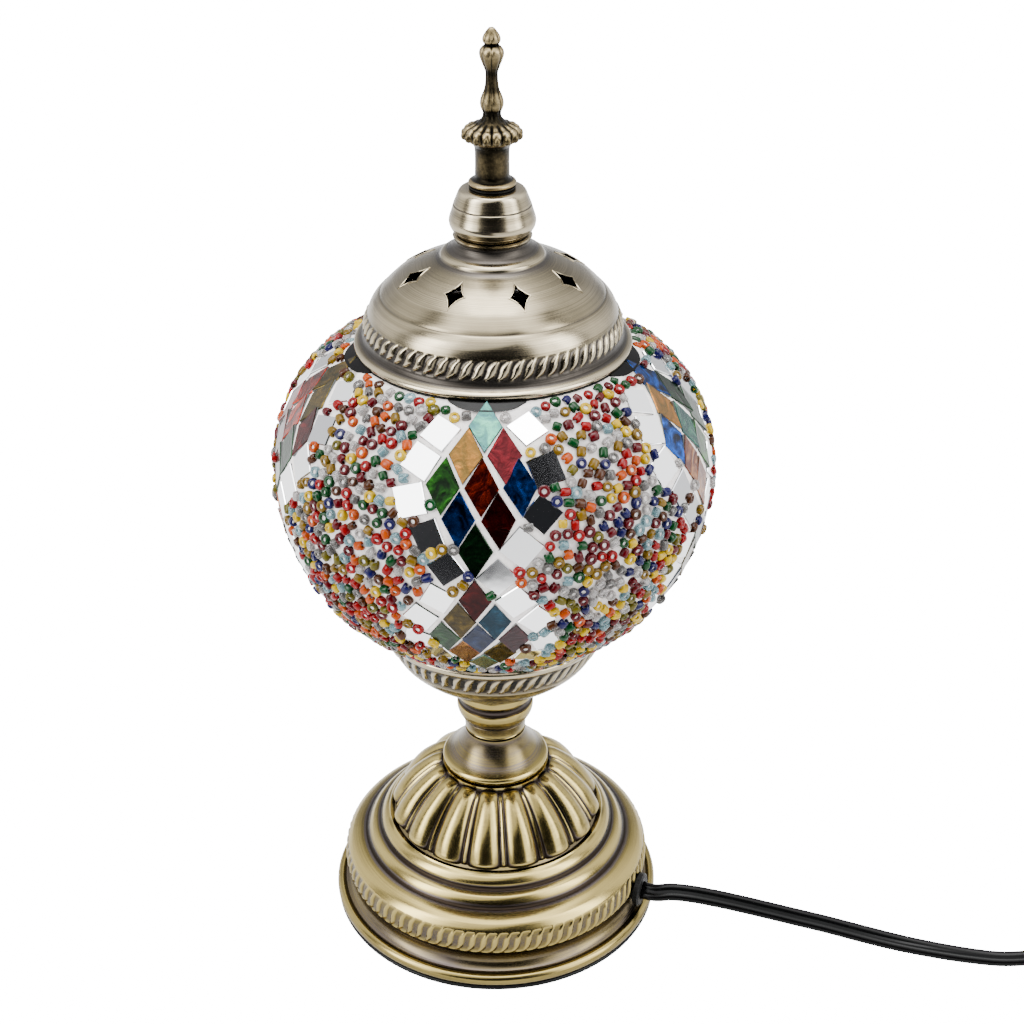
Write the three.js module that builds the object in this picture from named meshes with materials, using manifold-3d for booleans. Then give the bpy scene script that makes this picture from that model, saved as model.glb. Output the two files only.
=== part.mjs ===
// Mosaic glass table lamp: a fluted brass-plated foot, a hollow rod, a squat globe of clear glass with a
// skin of seed beads and mirror tiles, a pierced dome cap held down by a finial, and a flat twin flex with
// an in-line switch and a two-blade plug.
// Millimetres, +Z up. The lamp's axis is X = Y = 0, and Z = 0 is the table.
import * as THREE from "three";
import { mergeVertices } from "three/addons/utils/BufferGeometryUtils.js";
import Module from "manifold-3d";

const wasm = await Module();
wasm.setup();

// ---------------------------------------------------------------- driving dimensions
const GAP = 0.3; // kept between pieces that rest on each other
const WALL = 1.0; // pressed sheet of the base, the cup and the cap

const PAD_TOP = 1.6;
const BASE_R = 62.5; // rolled rim of the base
const FLUTES = 16;
const FLUTE_DEPTH = 1.8;
const FLUTE_TURN = -6.25; // degrees that the first crest is turned from the X axis
const CROWN_Z = 60.6; // flat top of the base

const ROD_R = 5.0;
const ROD_BORE_R = 3.4;
const ROD_HOLE_R = 5.4; // clearance hole that the rod passes through
const ROD_BOTTOM = 47;
const ROD_TOP = 124;

const GLOBE_R = 76.5; // over the mosaic
const GLOBE_MID_Z = 184;
const GLOBE_UP = 58.5; // semi-height above the middle, as a superellipse
const GLOBE_UP_POWER = 2.4;
const GLOBE_DOWN = 67.2; // semi-height below the middle, as an ellipse
const MOSAIC_THICK = 3.0;
const GLASS_THICK = 2.4;
const MOSAIC_BOTTOM = 126.6;
const MOSAIC_TOP = 232.4;
// The glass reaches a little further than its skin, at both ends.
const GLASS_BOTTOM = 125.3;
const GLASS_TOP = 234.6;

const VENTS = 8;
const VENT_TURN = 19; // degrees from the front to the nearest vent
const VENT_SLOPE = 29; // degrees that the dome slopes there
const VENT_R = 24.8; // distance of a vent's middle from the axis
const VENT_Z = 260;
const VENT_LONG = 6.2; // half its length down the dome
const VENT_WIDE = 3.6; // half its width across

const STUD_R = 3.0;
const STUD_HOLE_R = 3.5;
const STUD_BOTTOM = 250;
const STUD_TOP = 298;

const HARP_X = 28.5; // half the distance between the legs
const HARP_WIRE_R = 1.8;
const SADDLE_Z = 115;
const SADDLE_THICK = 1.6;
const HARP_TOP_Z = 261;

const SOCKET_R = 13.5;
const SOCKET_BOTTOM = SADDLE_Z + SADDLE_THICK + GAP;
const SOCKET_TOP = 150;

const EXIT_TURN = 68; // degrees from the front, towards +X, to where the flex leaves the base
const EXIT_Z = 13.7;
const GROMMET_R = 6.5;
const GROMMET_FACE = 60.9; // distance of its outer face from the axis
const GROMMET_HOLE_R = 4.7; // hole in the base round its waist
const LEAD_THICK = 4.0; // the two cores inside the lamp

const FLEX_WIDE = 6.6;
const FLEX_THICK = 3.4;
const COIL_INNER_R = 27; // centre line of the innermost turn
const COIL_OUTER_R = 50; // centre line of the outermost turn
const COIL_X = 309;
const COIL_Y = -5;

const SWITCH_LONG = 56;
const SWITCH_WIDE = 22;
const SWITCH_TALL = 15;
const SWITCH_CORNER = 6;
const SWITCH_SEAM = 0.3; // gap between its two halves
const SWITCH_SPLIT = 7.2; // height of the joint between its two halves
const SWITCH_X = 243;
const SWITCH_Y = -53;
const SWITCH_TURN = -3; // degrees about Z
const ROCKER_TILT = 8; // degrees, resting with one end pressed

const FINE = 32; // segments of large round pieces
const COARSE = 16; // segments of small round pieces
const GLOBE_STEPS = 10; // rows of facets on the globe

// ---------------------------------------------------------------- materials
const metal = (color, roughness) =>
  new THREE.MeshStandardMaterial({ color, roughness, metalness: 1 });
const plain = (color, roughness) =>
  new THREE.MeshStandardMaterial({ color, roughness, metalness: 0 });
const BRASS = () => metal(0xb6a37c, 0.34);
const PEWTER = () => metal(0xa8a190, 0.36);
const CAST = () => metal(0x6f6346, 0.45);
const STEEL = () => metal(0x9a9a9a, 0.4);
const BLACK_RUBBER = () => plain(0x141414, 0.6);
const BLACK_VINYL = () => plain(0x0f0f10, 0.35);

// ---------------------------------------------------------------- helpers
const lamp = new THREE.Group();

function add(name, geometry, material, parent = lamp) {
  const mesh = new THREE.Mesh(geometry, material);
  mesh.name = name;
  parent.add(mesh);
  return mesh;
}

// The area inside a closed outline of [r, z] points: positive when it runs anticlockwise.
function signedArea(points) {
  let sum = 0;
  points.forEach(([r, z], i) => {
    const [nextR, nextZ] = points[(i + 1) % points.length];
    sum += r * nextZ - nextR * z;
  });
  return sum / 2;
}

// A solid of revolution about Z. The outline of [r, z] points either starts and ends on the axis or is a
// ring, which is closed here. It faces outwards whichever way the outline runs.
function turned(outline, segments = FINE) {
  const points = signedArea(outline) < 0 ? [...outline].reverse() : [...outline];
  if (points[0][0] > 0) points.push(points[0]);
  const geometry = new THREE.LatheGeometry(
    points.map(([r, z]) => new THREE.Vector2(r, z)),
    segments,
  );
  return geometry.rotateX(Math.PI / 2);
}

// The outline moved sideways by a distance, to its left as it runs.
function offset(outline, distance) {
  return outline.map(([r, z], i) => {
    const [r0, z0] = outline[Math.max(i - 1, 0)];
    const [r1, z1] = outline[Math.min(i + 1, outline.length - 1)];
    const long = Math.hypot(r1 - r0, z1 - z0);
    return [r - ((z1 - z0) / long) * distance, z + ((r1 - r0) / long) * distance];
  });
}

// A shell of revolution: an outer line with the same line moved inwards behind it.
function shell(outer, wall, segments = FINE) {
  return turned([...outer, ...offset(outer, wall).reverse()], segments);
}

const ring = (inner, outer, low, high, segments = COARSE) =>
  turned([[inner, low], [outer, low], [outer, high], [inner, high]], segments);

function solid(geometry) {
  const bare = geometry.index ? geometry.toNonIndexed() : geometry.clone();
  bare.deleteAttribute("normal");
  bare.deleteAttribute("uv");
  const merged = mergeVertices(bare, 1e-3);
  return new wasm.Manifold(
    new wasm.Mesh({
      numProp: 3,
      vertProperties: new Float32Array(merged.attributes.position.array),
      triVerts: new Uint32Array(merged.index.array),
    }),
  );
}

function geometryOf(manifold) {
  const mesh = manifold.getMesh();
  return new THREE.BufferGeometry()
    .setAttribute("position", new THREE.BufferAttribute(mesh.vertProperties, 3))
    .setIndex(new THREE.BufferAttribute(mesh.triVerts, 1));
}

const joined = (first, ...rest) =>
  geometryOf(rest.reduce((sum, piece) => sum.add(solid(piece)), solid(first)));
const cut = (first, ...rest) =>
  geometryOf(rest.reduce((left, piece) => left.subtract(solid(piece)), solid(first)));

function box(x, y, z, sizeX, sizeY, sizeZ) {
  return new THREE.BoxGeometry(sizeX, sizeY, sizeZ).translate(x, y, z);
}

// A hexagon nut across its flats, with a hole.
function nut(flats, hole, low, high) {
  const outer = new THREE.CylinderGeometry(flats / Math.sqrt(3), flats / Math.sqrt(3), high - low, 6)
    .rotateX(Math.PI / 2)
    .translate(0, 0, (low + high) / 2);
  const bore = new THREE.CylinderGeometry(hole, hole, high - low + 2, COARSE)
    .rotateX(Math.PI / 2)
    .translate(0, 0, (low + high) / 2);
  return cut(outer, bore);
}

// A tube of a many-sided oval section along a smooth curve through points.
function tube(points, thick, wide, steps, sides = 10) {
  const section = new THREE.Shape(
    Array.from({ length: sides }, (_, i) => {
      const turn = ((i + 0.5) / sides) * 2 * Math.PI;
      return new THREE.Vector2((thick / 2) * Math.cos(turn), (wide / 2) * Math.sin(turn));
    }),
  );
  const path = new THREE.CatmullRomCurve3(points.map((p) => new THREE.Vector3(...p)));
  return new THREE.ExtrudeGeometry(section, { steps, bevelEnabled: false, extrudePath: path });
}

// ---------------------------------------------------------------- the base
// Outer line of the pressed base, from the rolled rim up over the cove, the rope band, the torus and two
// rings to the foot of the flutes.
const BASE_SKIRT = [
  [60.9, 2.0],
  [62.2, 2.9],
  [BASE_R, 4.2],
  [62.0, 5.7],
  [60.6, 6.5],
  [58.0, 7.0],
  [56.2, 9.0],
  [56.0, 11.6],
  [57.4, 14.6],
  [58.2, 17.4],
  [57.8, 21.2],
  [56.4, 23.2],
  [54.4, 26.0],
  [50.4, 28.9],
  [48.6, 30.6],
  [46.2, 32.7],
  [43.9, 34.0],
  [43.0, 36.2],
  [40.6, 38.8],
];
const FLUTE_CREST = [
  [38.1, 42.3],
  [34.6, 46.3],
  [30.9, 50.2],
  [27.0, 54.2],
  [23.3, 57.8],
  [20.6, 60.2],
];
const BASE_CROWN = [
  [17.5, CROWN_Z],
  [ROD_HOLE_R, CROWN_Z],
];

function baseShell() {
  const outer = [...BASE_SKIRT, ...FLUTE_CREST, ...BASE_CROWN];
  const segments = FLUTES * 2; // one on each crest and one in each groove
  const geometry = shell(outer, WALL, segments);
  const position = geometry.attributes.position;
  const firstR = BASE_SKIRT.at(-1)[0];
  const lastR = FLUTE_CREST.at(-1)[0];
  // Each flute is a lobe: the sheet dips between the lobes, and the dip fades out at both of its ends.
  for (let i = 0; i < position.count; i += 1) {
    const x = position.getX(i);
    const y = position.getY(i);
    const r = Math.hypot(x, y);
    const along = (firstR - r) / (firstR - lastR);
    const onCrown = position.getZ(i) > BASE_SKIRT.at(-1)[1] - WALL;
    if (!onCrown || along <= 0 || along >= 1) continue;
    const lobe = Math.abs(Math.cos((FLUTES / 2) * Math.atan2(y, x)));
    const dip = FLUTE_DEPTH * (1 - lobe) * Math.sin(Math.PI * along) ** 0.5;
    const lower = dip * Math.SQRT1_2; // the crown slopes at 45 degrees
    const shrink = (r - lower) / r;
    position.setXYZ(i, x * shrink, y * shrink, position.getZ(i) - lower);
  }
  const hole = new THREE.CylinderGeometry(GROMMET_HOLE_R, GROMMET_HOLE_R, 16, 20)
    .rotateZ(Math.PI / 2)
    .translate(GROMMET_FACE - 4, 0, EXIT_Z)
    .rotateZ(THREE.MathUtils.degToRad(EXIT_TURN - 90));
  return cut(geometry.rotateZ(THREE.MathUtils.degToRad(FLUTE_TURN)), hole);
}

add("base_pad", ring(14, 60.6, 0, PAD_TOP, FINE), BLACK_RUBBER());
add("bottom_plate", ring(12, 58.6, PAD_TOP + GAP, 3.0, FINE), STEEL());
add("base_weight", ring(14, 50, 3.0 + GAP, 10, FINE), metal(0x4a4a48, 0.8));
add("base_shell", baseShell(), BRASS());

// The grommet holds the flex in the wall of the base: two flanges and a waist, along the exit direction.
const grommet = turned(
  [
    [3.6, -8],
    [5.7, -8],
    [5.7, -6.2],
    [4.3, -6.2],
    [4.3, -2.2],
    [GROMMET_R, -2.2],
    [GROMMET_R, -0.5],
    [5.6, 0],
    [3.6, 0],
  ],
  24,
)
  .rotateY(Math.PI / 2)
  .translate(GROMMET_FACE, 0, EXIT_Z)
  .rotateZ(THREE.MathUtils.degToRad(EXIT_TURN - 90));
add("cord_grommet", grommet, BLACK_RUBBER());

// ---------------------------------------------------------------- the stem
add(
  "neck_cone",
  turned(
    [
      [ROD_HOLE_R, 61.0],
      [19.8, 61.0],
      [20.2, 62.4],
      [19.6, 63.8],
      [16.9, 65.8],
      [14.4, 68.4],
      [12.7, 71.4],
      [11.8, 75.2],
      [ROD_HOLE_R, 75.2],
    ],
    40,
  ),
  BRASS(),
);
add(
  "neck_spool",
  turned(
    [
      [ROD_HOLE_R, 75.6],
      [11.2, 75.6],
      [11.5, 78.6],
      [12.2, 80.6],
      [13.5, 83.2],
      [14.2, 86.0],
      [14.2, 88.6],
      [13.4, 90.4],
      [13.8, 92.6],
      [14.4, 94.9],
      [ROD_HOLE_R, 94.9],
    ],
    40,
  ),
  BRASS(),
);
add("rod_tube", ring(ROD_BORE_R, ROD_R, ROD_BOTTOM, ROD_TOP), STEEL());
add("lower_nut", nut(14, ROD_HOLE_R, 52.4, 57.4), STEEL());
add("lower_washer", ring(ROD_HOLE_R, 11, 57.7, 59.2), STEEL());
add("cup_washer", ring(ROD_HOLE_R, 12, 96.8, 98.2), STEEL());
add("upper_nut", nut(14, ROD_HOLE_R, 98.5, 103.2), STEEL());
add("riser_sleeve", ring(ROD_HOLE_R, 7.6, 103.5, SADDLE_Z - GAP), STEEL());

// ---------------------------------------------------------------- the lower cup
const CUP = [
  [ROD_HOLE_R, 95.3],
  [14.6, 95.3],
  [17.6, 96.6],
  [24.0, 101.8],
  [31.0, 108.4],
  [37.4, 114.4],
  [40.2, 117.2],
  [41.9, 120.6],
  [42.7, 124.2],
  [43.6, 125.8],
  [43.2, 127.4],
];
add("lower_cup", shell(CUP, WALL), PEWTER());

// ---------------------------------------------------------------- the harp frame and its stud
function harpFrame() {
  const leg = (side) => [
    [side * HARP_X, 0, SADDLE_Z + 0.5],
    [side * HARP_X, 0, 160],
    [side * HARP_X, 0, 205],
    [side * (HARP_X - 1), 0, 232],
    [side * (HARP_X - 8), 0, 250],
    [side * 8, 0, HARP_TOP_Z - 1],
    [0, 0, HARP_TOP_Z],
  ];
  const wire = tube(
    [...leg(-1), ...leg(1).reverse().slice(1)],
    HARP_WIRE_R * 2,
    HARP_WIRE_R * 2,
    36,
    8,
  );
  const saddle = box(0, 0, SADDLE_Z + SADDLE_THICK / 2, 2 * HARP_X + 5, 12, SADDLE_THICK);
  const boss = new THREE.CylinderGeometry(6, 6, 5, 20)
    .rotateX(Math.PI / 2)
    .translate(0, 0, HARP_TOP_Z);
  const bore = (r, z, long) =>
    new THREE.CylinderGeometry(r, r, long, 20).rotateX(Math.PI / 2).translate(0, 0, z);
  return cut(
    joined(wire, saddle, boss),
    bore(STUD_R + GAP, HARP_TOP_Z, 12),
    bore(ROD_HOLE_R, SADDLE_Z, 8),
  );
}
add("harp_frame", harpFrame(), STEEL());
const studSide = [
  [0, STUD_BOTTOM],
  [STUD_R, STUD_BOTTOM],
  [STUD_R, STUD_TOP - 1],
  [STUD_R - 1, STUD_TOP],
  [0, STUD_TOP],
];
add("stud", turned(studSide, 20), STEEL());
add("stud_nut_lower", nut(10, STUD_R + GAP, 253.4, 258.2), STEEL());
add("stud_nut_upper", nut(10, STUD_R + GAP, 263.8, 268.2), STEEL());

// ---------------------------------------------------------------- the bulb holder and the bulb
add(
  "socket_body",
  turned(
    [
      [ROD_HOLE_R, SOCKET_BOTTOM],
      [11, SOCKET_BOTTOM],
      [SOCKET_R, SOCKET_BOTTOM + 4],
      [SOCKET_R, SOCKET_TOP],
      [8.2, SOCKET_TOP],
      [8.2, 127],
      [ROD_HOLE_R, 127],
    ],
    COARSE,
  ),
  plain(0x17140f, 0.4),
);
add("socket_screw_shell", ring(6.7, 7.4, 131, 148, 24), BRASS());
add(
  "socket_contact",
  turned([[0, 127.4], [4.6, 127.4], [4.6, 128.2], [1.6, 130.2], [0, 130.2]], 16),
  BRASS(),
);
add(
  "bulb_tip",
  turned([[0, 130.5], [1.6, 130.5], [2.4, 131.2], [2.4, 132.1], [0, 132.1]], COARSE),
  STEEL(),
);
add(
  "bulb_base",
  turned(
    [
      [0, 132.4],
      [3.0, 132.4],
      [5.6, 133.4],
      [6.2, 134.6],
      [6.2, 150.4],
      [5.2, 150.4],
      [5.2, 136],
      [0, 136],
    ],
    20,
  ),
  BRASS(),
);
const BULB = [
  [6.4, 150.8],
  [9.4, 156],
  [13.6, 164],
  [16.8, 174],
  [17.5, 184],
  [16.0, 196],
  [12.2, 208],
  [7.2, 218],
  [2.6, 223.6],
];
const BULB_WALL = 0.9;
const BULB_TOP = 224.6;
const bulbSide = [...BULB, [0, BULB_TOP], [0, BULB_TOP - 1], ...offset(BULB, BULB_WALL).reverse()];
add(
  "bulb_glass",
  turned(bulbSide, COARSE),
  new THREE.MeshStandardMaterial({ color: 0xf4efe2, roughness: 0.2, transparent: true, opacity: 0.5 }),
);

// ---------------------------------------------------------------- the globe
// Radius over the mosaic at a height.
function globeRadius(z) {
  const up = z > GLOBE_MID_Z;
  const power = up ? GLOBE_UP_POWER : 2;
  const reach = Math.abs(z - GLOBE_MID_Z) / (up ? GLOBE_UP : GLOBE_DOWN);
  return GLOBE_R * (1 - reach ** power) ** (1 / power);
}

// Points up the outside of the globe, closer together where it curves in.
const lowTurn = Math.asin((MOSAIC_BOTTOM - GLOBE_MID_Z) / GLOBE_DOWN);
const highTurn = Math.asin((MOSAIC_TOP - GLOBE_MID_Z) / GLOBE_DOWN);
const globeLine = Array.from({ length: GLOBE_STEPS + 1 }, (_, i) => {
  const turn = lowTurn + ((highTurn - lowTurn) * i) / GLOBE_STEPS;
  const z = GLOBE_MID_Z + GLOBE_DOWN * Math.sin(turn);
  return [globeRadius(z), z];
});

add("mosaic_skin", shell(globeLine, MOSAIC_THICK), plain(0xd8c9b8, 0.4));
const glassLine = [
  [globeRadius(GLASS_BOTTOM), GLASS_BOTTOM],
  ...globeLine,
  [globeRadius(GLASS_TOP), GLASS_TOP],
];
add(
  "globe_glass",
  shell(offset(glassLine, MOSAIC_THICK + GAP), GLASS_THICK),
  new THREE.MeshStandardMaterial({ color: 0xe8f0f0, roughness: 0.05, transparent: true, opacity: 0.4 }),
);
// A soft ring in the cup carries the edge of the glass on its inner step and the skin on its outer one.
add(
  "bottom_gasket",
  turned([
    [33.5, 118.0],
    [38.7, 118.0],
    [40.3, 121.4],
    [40.6, 126.2],
    [37.2, 126.2],
    [36.6, 127.9],
    [33.5, 127.9],
  ]),
  BLACK_RUBBER(),
);

// ---------------------------------------------------------------- the cap
const CAP_RIM = [
  [44.8, 233.1],
  [45.9, 233.6],
  [45.8, 234.9],
  [44.8, 235.8],
  [43.2, 237.0],
  [43.7, 240.0],
  [43.2, 242.6],
  [41.9, 244.8],
  [41.2, 247.4],
  [39.4, 249.8],
  [37.4, 251.4],
];
const CAP_DOME = [
  [34.4, 254.0],
  [29.6, 257.4],
  [24.6, 260.2],
  [19.8, 262.6],
  [16.2, 265.0],
  [13.6, 267.6],
  [12.6, 270.2],
  [12.9, 271.4],
];

// One vent is a star with four points and hollow sides, longer down the dome than across it.
function ventCutter(index) {
  const star = new THREE.Shape();
  const [waistLong, waistWide] = [1.9, 1.5];
  const depth = 14;
  star.moveTo(VENT_LONG, 0);
  star.quadraticCurveTo(waistLong, waistWide, 0, VENT_WIDE);
  star.quadraticCurveTo(-waistLong, waistWide, -VENT_LONG, 0);
  star.quadraticCurveTo(-waistLong, -waistWide, 0, -VENT_WIDE);
  star.quadraticCurveTo(waistLong, -waistWide, VENT_LONG, 0);
  return new THREE.ExtrudeGeometry(star, { depth, bevelEnabled: false, curveSegments: 2 })
    .translate(0, 0, -depth / 2)
    .rotateY(THREE.MathUtils.degToRad(VENT_SLOPE))
    .translate(VENT_R, 0, VENT_Z)
    .rotateZ(THREE.MathUtils.degToRad(VENT_TURN - 90 + (index * 360) / VENTS));
}
const capSheet = shell([...CAP_RIM, ...CAP_DOME, [STUD_HOLE_R, 271.4]], WALL);
add("cap_dome", cut(capSheet, ...Array.from({ length: VENTS }, (_, i) => ventCutter(i))), PEWTER());
add("top_gasket", ring(42.6, 48.4, 232.0, 232.8, FINE), BLACK_RUBBER());
add(
  "vase_knob",
  turned(
    [
      [STUD_HOLE_R, 271.8],
      [11.9, 271.8],
      [12.0, 272.8],
      [13.3, 273.6],
      [14.3, 276.2],
      [13.9, 278.4],
      [12.7, 281.6],
      [11.8, 284.6],
      [10.8, 286.3],
      [8.0, 286.8],
      [STUD_HOLE_R, 286.8],
    ],
    36,
  ),
  PEWTER(),
);

// ---------------------------------------------------------------- the finial
const FINIAL_FOOT = 287.9;
add("finial_washer", ring(STUD_HOLE_R, 7.5, 287.1, 287.6, 24), BLACK_RUBBER());
add("finial_insert", ring(STUD_R + 0.2, 4.1, FINIAL_FOOT, 299.2, 20), BRASS());
add(
  "finial",
  turned(
    [
      [4.4, FINIAL_FOOT],
      [7.7, FINIAL_FOOT],
      [7.6, 289.1],
      [6.0, 290.0],
      [5.6, 291.0],
      [5.6, 300.6],
      [6.2, 302.4],
      [8.8, 304.0],
      [9.3, 305.4],
      [8.6, 306.8],
      [6.2, 308.2],
      [3.4, 310.4],
      [3.1, 312.0],
      [3.7, 314.4],
      [3.3, 316.8],
      [2.2, 320.0],
      [2.0, 324.0],
      [3.1, 327.2],
      [3.9, 330.2],
      [2.9, 332.4],
      [2.3, 333.6],
      [2.4, 334.6],
      [1.7, 335.7],
      [1.6, 336.8],
      [0.9, 337.8],
      [0, 338],
      [0, 299.6],
      [4.4, 299.6],
    ],
    20,
  ),
  CAST(),
);

// ---------------------------------------------------------------- the flex
const exitTurn = THREE.MathUtils.degToRad(EXIT_TURN);
const along = (distance, z = EXIT_Z) => [
  distance * Math.sin(exitTurn),
  -distance * Math.cos(exitTurn),
  z,
];

// Inside the lamp the two cores run from the grommet over the weight, and up the rod to the bulb holder.
const LEAD = [
  along(52),
  along(42, 13.2),
  along(28, 13.6),
  along(12, 19),
  along(3, 29),
  [0, 0, 40],
  [0, 0, 60],
  [0, 0, 90],
  [0, 0, 125],
];
add("inner_lead", tube(LEAD, LEAD_THICK, LEAD_THICK, 34, 8), BLACK_VINYL());

const switchAxis = (s) => {
  const turn = THREE.MathUtils.degToRad(SWITCH_TURN);
  return [SWITCH_X + s * Math.cos(turn), SWITCH_Y + s * Math.sin(turn)];
};
const switchHalf = SWITCH_LONG / 2 + GAP;

// The stretch from the grommet to the switch, which comes down to the table.
const RUN = [
  along(GROMMET_FACE + GAP),
  along(66, 14.1),
  [67.2, -24.6, 14.4],
  [74.5, -25.2, 14.0],
  [84.0, -26.3, 12.7],
  [94.0, -27.6, 11.0],
  [104.5, -29.0, 9.0],
  [115.0, -30.6, 7.1],
  [126.0, -32.6, 5.4],
  [138.0, -35.4, 3.7],
  [150.0, -38.6, 2.5],
  [163.0, -42.3, 2.1],
  [177.0, -45.8, 2.1],
  [190.0, -48.4, 2.7],
  [202.0, -50.2, 5.2],
  [...switchAxis(-switchHalf - 3), SWITCH_SPLIT],
  [...switchAxis(-switchHalf), SWITCH_SPLIT],
];
add("cord_run", tube(RUN, FLEX_THICK, FLEX_WIDE, 44), BLACK_VINYL());

const coilLow = 0.3;
const coilHigh = coilLow + FLEX_WIDE;
add(
  "cord_coil",
  ring(
    COIL_INNER_R - FLEX_THICK / 2 - GAP,
    COIL_OUTER_R + FLEX_THICK / 2,
    coilLow,
    coilHigh,
    40,
  ).translate(COIL_X, COIL_Y, 0),
  BLACK_VINYL(),
);

// The stretch from the switch to the coil's outermost turn.
const coilPoint = (turn, r, z) => [
  COIL_X + r * Math.sin(THREE.MathUtils.degToRad(turn)),
  COIL_Y - r * Math.cos(THREE.MathUtils.degToRad(turn)),
  z,
];
add(
  "cord_link",
  tube(
    [
      [...switchAxis(switchHalf), SWITCH_SPLIT],
      [...switchAxis(switchHalf + 4), SWITCH_SPLIT],
      coilPoint(-26, COIL_OUTER_R + 6, 5.2),
      coilPoint(-16, COIL_OUTER_R + 5.3, 3.9),
      coilPoint(-9, COIL_OUTER_R + 5, 3.7),
    ],
    4.4,
    5,
    12,
    8,
  ),
  BLACK_VINYL(),
);

// The tail rises inside the coil, crosses over its turns and ends in the plug that lies on them.
const PLUG_THICK = 12;
const plugZ = coilHigh + GAP + PLUG_THICK / 2;
const plugStart = [COIL_X - 2, COIL_Y + 35.6, plugZ];
const TAIL = [
  [COIL_X + 21, COIL_Y - 7, 3.9],
  [COIL_X + 21, COIL_Y - 1, 5.0],
  [COIL_X + 21, COIL_Y + 6, 8.6],
  [COIL_X + 20.7, COIL_Y + 12, 11.2],
  [COIL_X + 19.6, COIL_Y + 21, 13],
  [COIL_X + 16.8, COIL_Y + 29, plugZ],
  [COIL_X + 11.8, COIL_Y + 34, plugZ],
  [COIL_X + 5.5, COIL_Y + 35.8, plugZ],
  plugStart,
];
add("cord_tail", tube(TAIL, 4.4, 5, 18, 8), BLACK_VINYL());

// ---------------------------------------------------------------- the in-line switch
const switchGroup = new THREE.Group();
switchGroup.position.set(SWITCH_X, SWITCH_Y, 0);
switchGroup.rotation.z = THREE.MathUtils.degToRad(SWITCH_TURN);
lamp.add(switchGroup);

function roundedBox(long, wide, low, high, corner) {
  const outline = new THREE.Shape();
  const x = long / 2;
  const y = wide / 2;
  outline.moveTo(-x + corner, -y);
  outline.lineTo(x - corner, -y);
  outline.quadraticCurveTo(x, -y, x, -y + corner);
  outline.lineTo(x, y - corner);
  outline.quadraticCurveTo(x, y, x - corner, y);
  outline.lineTo(-x + corner, y);
  outline.quadraticCurveTo(-x, y, -x, y - corner);
  outline.lineTo(-x, -y + corner);
  outline.quadraticCurveTo(-x, -y, -x + corner, -y);
  return new THREE.ExtrudeGeometry(outline, {
    depth: high - low,
    bevelEnabled: false,
    curveSegments: 4,
  }).translate(0, 0, low);
}

const ROCKER_LONG = 17;
const ROCKER_WIDE = 9;
const WELL_FLOOR = 8.6;
add(
  "switch_base",
  roundedBox(SWITCH_LONG, SWITCH_WIDE, GAP, SWITCH_SPLIT - SWITCH_SEAM / 2, SWITCH_CORNER),
  BLACK_VINYL(),
  switchGroup,
);
add(
  "switch_cover",
  cut(
    roundedBox(SWITCH_LONG, SWITCH_WIDE, SWITCH_SPLIT + SWITCH_SEAM / 2, SWITCH_TALL, SWITCH_CORNER),
    box(0, 0, WELL_FLOOR + 10, ROCKER_LONG + 1.2, ROCKER_WIDE + 1, 20),
  ),
  BLACK_VINYL(),
  switchGroup,
);
// The rocker is a shallow V seen from the side, so that one half is flush when the other stands up.
const rockerSide = new THREE.Shape();
rockerSide.moveTo(-ROCKER_LONG / 2, 3.6);
rockerSide.lineTo(0, 2.6);
rockerSide.lineTo(ROCKER_LONG / 2, 3.6);
rockerSide.lineTo(ROCKER_LONG / 2 - 0.8, 0.2);
rockerSide.lineTo(2.4, -2.2);
rockerSide.lineTo(-2.4, -2.2);
rockerSide.lineTo(-ROCKER_LONG / 2 + 0.8, 0.2);
rockerSide.closePath();
const ROCKER_AXIS_Z = 12.4;
const rocker = new THREE.ExtrudeGeometry(rockerSide, { depth: ROCKER_WIDE, bevelEnabled: false })
  .translate(0, 0, -ROCKER_WIDE / 2)
  .rotateX(Math.PI / 2)
  .rotateY(THREE.MathUtils.degToRad(ROCKER_TILT))
  .translate(0, 0, ROCKER_AXIS_Z);
add("switch_rocker", rocker, plain(0x1a1a1a, 0.3), switchGroup);

// ---------------------------------------------------------------- the plug
const PLUG_LONG = 46; // with its strain relief
const STRAIN_RELIEF = 22;
const PLUG_WIDE = 23;
const PLUG_TURN = 185; // degrees about Z that the blades point
const BLADE_LONG = 16;
const BLADE_APART = 12.7;
const BLADE_THICK = 1.5;
const BLADE_WIDE = 6.35;
const plugGroup = new THREE.Group();
plugGroup.position.set(...plugStart);
plugGroup.rotation.z = THREE.MathUtils.degToRad(PLUG_TURN);
lamp.add(plugGroup);

const plugSide = new THREE.Shape();
plugSide.moveTo(GAP, -3.8);
plugSide.lineTo(STRAIN_RELIEF, -5);
plugSide.quadraticCurveTo(STRAIN_RELIEF + 3, -6, STRAIN_RELIEF + 5, -PLUG_WIDE / 2);
plugSide.lineTo(PLUG_LONG, -PLUG_WIDE / 2);
plugSide.lineTo(PLUG_LONG, PLUG_WIDE / 2);
plugSide.lineTo(STRAIN_RELIEF + 5, PLUG_WIDE / 2);
plugSide.quadraticCurveTo(STRAIN_RELIEF + 3, 6, STRAIN_RELIEF, 5);
plugSide.lineTo(GAP, 3.8);
plugSide.closePath();
add(
  "plug_body",
  new THREE.ExtrudeGeometry(plugSide, {
    depth: PLUG_THICK,
    bevelEnabled: false,
    curveSegments: 4,
  }).translate(0, 0, -PLUG_THICK / 2),
  BLACK_VINYL(),
  plugGroup,
);
for (const [name, side] of [
  ["plug_blade_left", 1],
  ["plug_blade_right", -1],
]) {
  add(
    name,
    box(
      PLUG_LONG + GAP + BLADE_LONG / 2,
      (side * BLADE_APART) / 2,
      0,
      BLADE_LONG,
      BLADE_THICK,
      BLADE_WIDE,
    ),
    BRASS(),
    plugGroup,
  );
}

export default lamp;
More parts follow.
